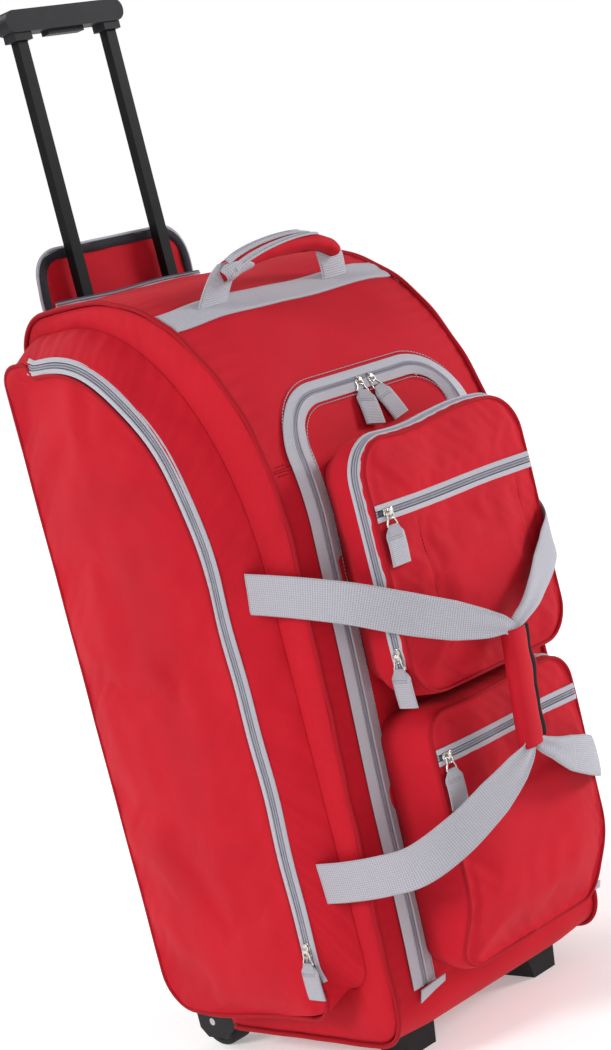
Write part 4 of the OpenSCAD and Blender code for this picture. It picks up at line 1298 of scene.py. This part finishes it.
def flap_edge(inset):
    """120 points [x, z] along the flap's free edge, from its lower left corner to its lower right"""
    up_z = np.linspace(FLAP_LOW, FLAP_TOP - FLAP_R - inset, 12)
    left = np.column_stack([-flap_half(up_z, inset), up_z])
    r = FLAP_R - inset * 0.6
    h = flap_half(FLAP_TOP - inset - r, inset)
    corner = arc(-h + r, FLAP_TOP - inset - r, r, r, 180, 90, 14)
    path = Path(np.vstack([left, corner, (corner * [-1, 1])[::-1], (left * [-1, 1])[::-1]]))
    return path.at(np.linspace(0, path.length, 120))


edge, outer_edge = flap_edge(3.0), flap_edge(-0.8)
wave = FLAP_Y + 0.8 * np.sin(np.arange(len(edge)) * 0.33)
line = np.column_stack([edge[:, 0], wave, edge[:, 1]])
_, side, normal = frames_along(line, (0, -1, 0))
section = [(-4.6, -2.4), (4.2, -2.4), (5.0, -1.6), (5.0, 1.6), (4.2, 2.4), (-4.6, 2.4), (-5.2, 0)]
make("cover_flap_binding", swept(line, side, normal, section), "binding", "cover_flap",
     slot="body_fabric")
line = np.column_stack([outer_edge[:, 0], wave, outer_edge[:, 1]])
zip_tape("cover_flap_zip", line, (0, -1, 0), 1, "cover_flap", inner=-1.0, outer=3.6, t=1.2)
zip_teeth("cover_flap_coil", line + [0, -0.3, 0], (0, -1, 0), 1, "cover_flap")

# the mating half stands along the bag's top edge, in front of the tubes
xs = np.linspace(-101, 99, 90)
back = 150 + 13 * smooth(80, 104, np.abs(xs))
edge_y = back + 2.6 * np.sin(xs / 19.0) + 0.8 * np.sin(xs / 7.3)
rows = [np.column_stack([xs, edge_y * t + back * (1 - t) - 1.5 * t,
                         786.0 + 7.5 * t + t * np.sin(xs / 23.0)]) for t in np.linspace(0, 1, 6)]
thicken(sheet_piece("top_zip_tape", np.stack(rows, 1), "zip_tape", "bag"), 1.2, 0)
rim3 = rows[-1] + [0, 0, 0.3]
zip_teeth("top_zip_coil", rim3, (0, -1, 0), 1, "bag")
tube_piece("top_zip_edge", rim3 + [0, 0.2, -1.2], 0.9, "coil", "bag", up=(0, -1, 0), slot="zip_tape",
           sides=8)
# the binding takes the piping's darkened red, which is painted shade
tube_piece("top_zip_binding", rows[0] + [0, 0.6, 0.6], 1.8, "piping", "bag", up=(0, 0, 1))


# ---------------------------------------------------------------- sliders and pulls
def rot(axis, degrees):
    return Matrix.Rotation(math.radians(degrees), 4, axis)


SURF = float(front_at(TEETH_TOP))
TILT = math.degrees(-math.atan(float(front_at(TEETH_TOP + 1) - front_at(TEETH_TOP - 1)) / 2))


def at_point(x, y, z):
    return Matrix.Translation((x, y, z))


def slider_mesh():
    """Verts and faces of a zip slider on a zip that faces -Y and runs along X"""
    chunks = []
    plan = [(-7, 0), (-6.2, -2.8), (-3.0, -3.9), (2.0, -3.3), (5.4, -3.9), (7, -3.0), (7, 3.0), (5.4, 3.9),
            (2.0, 3.3), (-3.0, 3.9), (-6.2, 2.8)]
    for y0, y1, grow in ((-0.3, -1.3, 1.0), (-2.3, -3.4, 0.96)):
        levels = [(y0, 0.9), (y0 - 0.25, 1.0), (y1 + 0.3, 1.0), (y1, 0.86)]
        v = np.array([(x * g * grow, y, z * g * grow) for y, g in levels for x, z in plan])
        chunks.append((v, tube_faces(4, len(plan)), v[:, [0, 2]]))
    post = [(-1.6, -1.2, -2.2), (-1.6, -1.2, 2.2), (-1.6, -2.5, 2.2), (-1.6, -2.5, -2.2)]
    block = np.array(post + [(x + 3.2, y, z) for x, y, z in post])
    chunks.append((block, BOX_FACES, block[:, [0, 2]]))
    loop = spline([(0, -3.2, -3.1), (0, -4.8, -3.2), (0, -6.0, -2.0), (0, -6.3, 0), (0, -6.0, 2.0),
                   (0, -4.8, 3.2), (0, -3.2, 3.1)], 22)
    _, side, normal = frames_along(loop, (1, 0, 0))
    section = [(-0.45, -1.7), (0.45, -1.7), (0.6, -1.2), (0.6, 1.2), (0.45, 1.7), (-0.45, 1.7),
               (-0.6, 1.2), (-0.6, -1.2)]
    chunks.append(swept(loop, side, normal, section))
    return merge(chunks)


def pull_ring():
    """A pear-shaped wire ring that hangs from the slider, with a small collar"""
    line = spline([(-2.4, 0, 0.2), (0, 0, 0.5), (2.4, 0, 0.2), (3.9, 0, -2.0), (4.2, 0, -7), (6.4, 0, -12.6),
                   (5.2, 0, -14.3), (0, 0, -14.6), (-5.2, 0, -14.3), (-6.4, 0, -12.6), (-4.2, 0, -7),
                   (-3.9, 0, -2.0), (-2.4, 0, 0.2)], 80)
    _, side, normal = frames_along(line, (0, -1, 0))
    ring_v = swept(line[:-1], side[:-1], normal[:-1], ring_section(0.95, 8), closed=True)
    waist = spline([(-2.6, -0.9, -6.4), (0, -1.1, -6.2), (2.6, -0.9, -6.4)], 8)
    _, side, normal = frames_along(waist, (0, -1, 0))
    return merge([ring_v, swept(waist, side, normal, ring_section(0.7, 8))])


def pull_tab():
    """Folded webbing tab: narrow where it holds the ring, with a cut lower end"""
    zs = np.linspace(-12.2, -50, 40)
    half = 5.6 + 6.0 * (1 - smooth(-21.5, -12.5, zs))
    bow = -0.9 * np.sin(-(zs + 12) / 38.0 * np.pi)
    thick = 1.25 - 0.2 * smooth(-17, -13, zs)
    u = np.linspace(-1, 1, 9)
    rings = [[(h * x, b + way * t * (1 - 0.5 * abs(x) ** 6), z) for way in (-1, 1) for x in u[::-way]]
             for z, h, b, t in zip(zs, half, bow, thick)]
    grid = np.array(rings)
    return grid.reshape(-1, 3), flat_tube_faces(*grid.shape[:2]), grid[..., [2, 0]].reshape(-1, 2)


def tab_stitches():
    along, across, up = np.array([1.0, 0, 0]), np.array([0, 0, 1.0]), np.array([0, -1.0, 0])
    chunks = [bar(np.array([x, y + 0.2, z]), along, across, up, (1.2, 0.8, 0.5))
              for z in (-23.0, -25.2) for x in np.arange(-9.5, 9.6, 3.2) for y in (-2.2, 1.4)]
    fold = [(-6.5, -1.7, -13.6), (6.5, -1.7, -13.6), (9.0, -2.1, -21.5), (-9.0, -2.1, -21.5)]
    v = np.array(fold + [(x, -0.9, z) for x, y, z in fold])
    return merge(chunks + [(v, BOX_FACES, v[:, [2, 0]])])


def bevel(obj, width, segments=2):
    mod = obj.modifiers.new("edges", "BEVEL")
    mod.width, mod.segments, mod.limit_method, mod.angle_limit = width * 0.001, segments, "ANGLE", 0.6


def hardware(name, slider_at, pull_at, roll=0.0):
    """Slider, ring and tab of one zip, at the slider's and the pull's places"""
    slider, pull = name.replace("_zip", "_slider"), name.replace("_zip", "_pull")
    bevel(make(slider + "_metal", slider_mesh(), "slider_metal", slider, slider, at=slider_at), 0.25)
    place = pull_at @ at_point(0, -4.3, 0) @ rot("Y", roll)
    make(pull + "_ring", pull_ring(), "slider_metal", pull, at=place)
    make(pull + "_tab", pull_tab(), "pull_tab", pull, pull, at=place)
    make(pull + "_stitches", tab_stitches(), "grey_thread", pull, slot="pull_tab", flat=True, at=place)


for sx in (-1, 1):
    place = at_point(6 + 8 * sx, SURF - 2, TEETH_TOP) @ rot("X", TILT)
    hardware(f"main_zip_{side_word(sx)}", place, place, roll=-12 * sx)
on_side = at_point(-(UPPER["half"] + 1.4), -217, 406) @ rot("Z", -90)
hardware("upper_side_zip", on_side @ rot("Y", 90), on_side)
for tag, spec, x in (("upper", UPPER, -98), ("lower", LOWER, -94)):
    place = at_point(x, -spec["front"] - 1.4, spec["zip"])
    hardware(f"{tag}_front_zip", place, place)
for sx, y, z, turn in ((-1, -74, 140, 0.0), (1, -53, 622, -21.3)):
    base, spin = at_point(sx * (POCKET_OUT + 1.4), y, z), rot("Z", 90 * sx)
    hardware(f"side_zip_{side_word(sx)}", base @ rot("X", turn) @ spin @ rot("Y", 90), base @ spin)


# ---------------------------------------------------------------- seams and stitching
def seam_run(x0, x1, off, lift):
    """Points and outward normal along the front's cross seam"""
    s = np.array([S_SEAM + off])
    grid, *_ = shell_points(s, np.arange(x0, x1, 2.0), lift)
    n = ring_frame(s)[1][0]
    return grid[0], np.array([0, n[0], n[1]])


ZIP_SIDE = TEETH_HALF + TAPE_W
stitches("front_seam_stitches", [seam_run(x0, x1, off, 0.9) for off in (-4.5, 4.5) for x0, x1 in
                                 ((-HALF + 3, -ZIP_SIDE), (ZIP_SIDE, HALF - 3))], "bag")
seam = []
for x0, x1 in ((-HALF + 1, -ZIP_SIDE + 3), (ZIP_SIDE - 3, HALF - 1)):
    points, up = seam_run(x0, x1, 0, 0.8)
    _, side, normal = frames_along(points, up)
    seam.append(swept(points, side, normal, ring_section(1.5, 8)))
# the seam's fold takes the piping's darkened red: a painted shade line along the cross seam
make("front_seam_fold", merge(seam), "piping", "bag", slot="body_fabric")
for grow, body in ((TAPE_W - 2.2, "bag"), (-TAPE_W + 2.2, "lid")):
    path = u_path(grow)
    line = on_front(*path.at(path.even(2.5)).T, 2.4)
    stitches(f"main_zip_stitches_{body}", [line], body, "grey_thread", "zip_tape", pitch=3.6, length=2.6)


# ---------------------------------------------------------------- kept CAD pieces
for name, node in frame["nodes"].items():
    if node.hide_render:
        continue
    row = next(p for p in frame["record"]["subparts"] if p["node"] == name)
    node.data.materials.clear()
    node.data.materials.append(M[row["material_slot"]])
for name in ("grip", "feet", "wheel_housing_left", "wheel_housing_right", "handle_bezel", "trigger",
             "inner_tubes", "lower_bracket"):
    bevel(frame["nodes"][name], 2.2 if name == "grip" else 0.9, 3)


# ---------------------------------------------------------------- floor, light and camera
def stage_floor():
    mesh, size = bpy.data.meshes.new("floor"), 12.0
    mesh.from_pydata([(x, y, 0) for x, y in ((-size, -size), (size, -size), (size, size), (-size, size))],
                     [], [(0, 1, 2, 3)])
    obj = bpy.data.objects.new("floor", mesh)
    bpy.context.scene.collection.objects.link(obj)
    m = Surface("studio_floor", (0.9, 0.9, 0.9), 0.9, specular=0.05)
    m.tones(m.noise(2.0, 3.0), (0.3, 0.89 / 0.9), (0.7, 0.91 / 0.9))
    m.inputs["Emission Color"].default_value = (1, 1, 1, 1)
    m.inputs["Emission Strength"].default_value = 0.3
    mesh.materials.append(m.material)


def soft_light(name, towards, strength, spread):
    """A wide, even light that shines along a direction, like a large softbox far away"""
    data = bpy.data.lights.new(name, "SUN")
    data.energy, data.angle = strength, math.radians(spread)
    obj = bpy.data.objects.new(name, data)
    obj.rotation_euler = Vector(towards).to_track_quat("-Z", "Y").to_euler()
    bpy.context.scene.collection.objects.link(obj)


stage_floor()
# the white world is brighter where the camera sees it than where it lights the bag
world = bpy.data.worlds.new("studio")
world.use_nodes = True
sky = Graph(world.node_tree)
background = sky.nodes["Background"].inputs
background["Color"].default_value = (1, 1, 1, 1)
seen = sky.add("ShaderNodeLightPath").outputs["Is Camera Ray"]
sky.links.new(sky.weighted(seen, 0.6, 0.4), background["Strength"])
bpy.context.scene.world = world
soft_light("left_softbox", (0.80, -0.25, -0.54), 1.6, 20)
soft_light("right_softbox", (-0.78, 0.54, -0.30), 2.0, 20)
soft_light("front_softbox", (0.45, 0.85, -0.28), 0.35, 30)
soft_light("back_softbox", (0.1, -0.85, -0.5), 1.0, 24)

CAMERA_AT = (-1450.456, -1582.397, 761.188)
PITCH, ROLL, HEADING = 83.500, -14.197, -42.772
SENSOR, FOCAL, PICTURE_H = 36.0, 2112.13, 1050  # mm, and the last two in the picture's pixels
camera_data = bpy.data.cameras.new("camera")
camera_data.sensor_fit, camera_data.sensor_height, camera_data.sensor_width = "VERTICAL", SENSOR, SENSOR
camera_data.lens = FOCAL / PICTURE_H * SENSOR
camera = bpy.data.objects.new("camera", camera_data)
camera.matrix_world = (Matrix.Translation([float(c) for c in to_metres([CAMERA_AT])[0]])
                       @ rot("Z", HEADING) @ rot("X", PITCH) @ rot("Z", ROLL))
bpy.context.scene.collection.objects.link(camera)
bpy.context.scene.camera = camera
bpy.context.scene.view_settings.view_transform = "Standard"

run_settling()
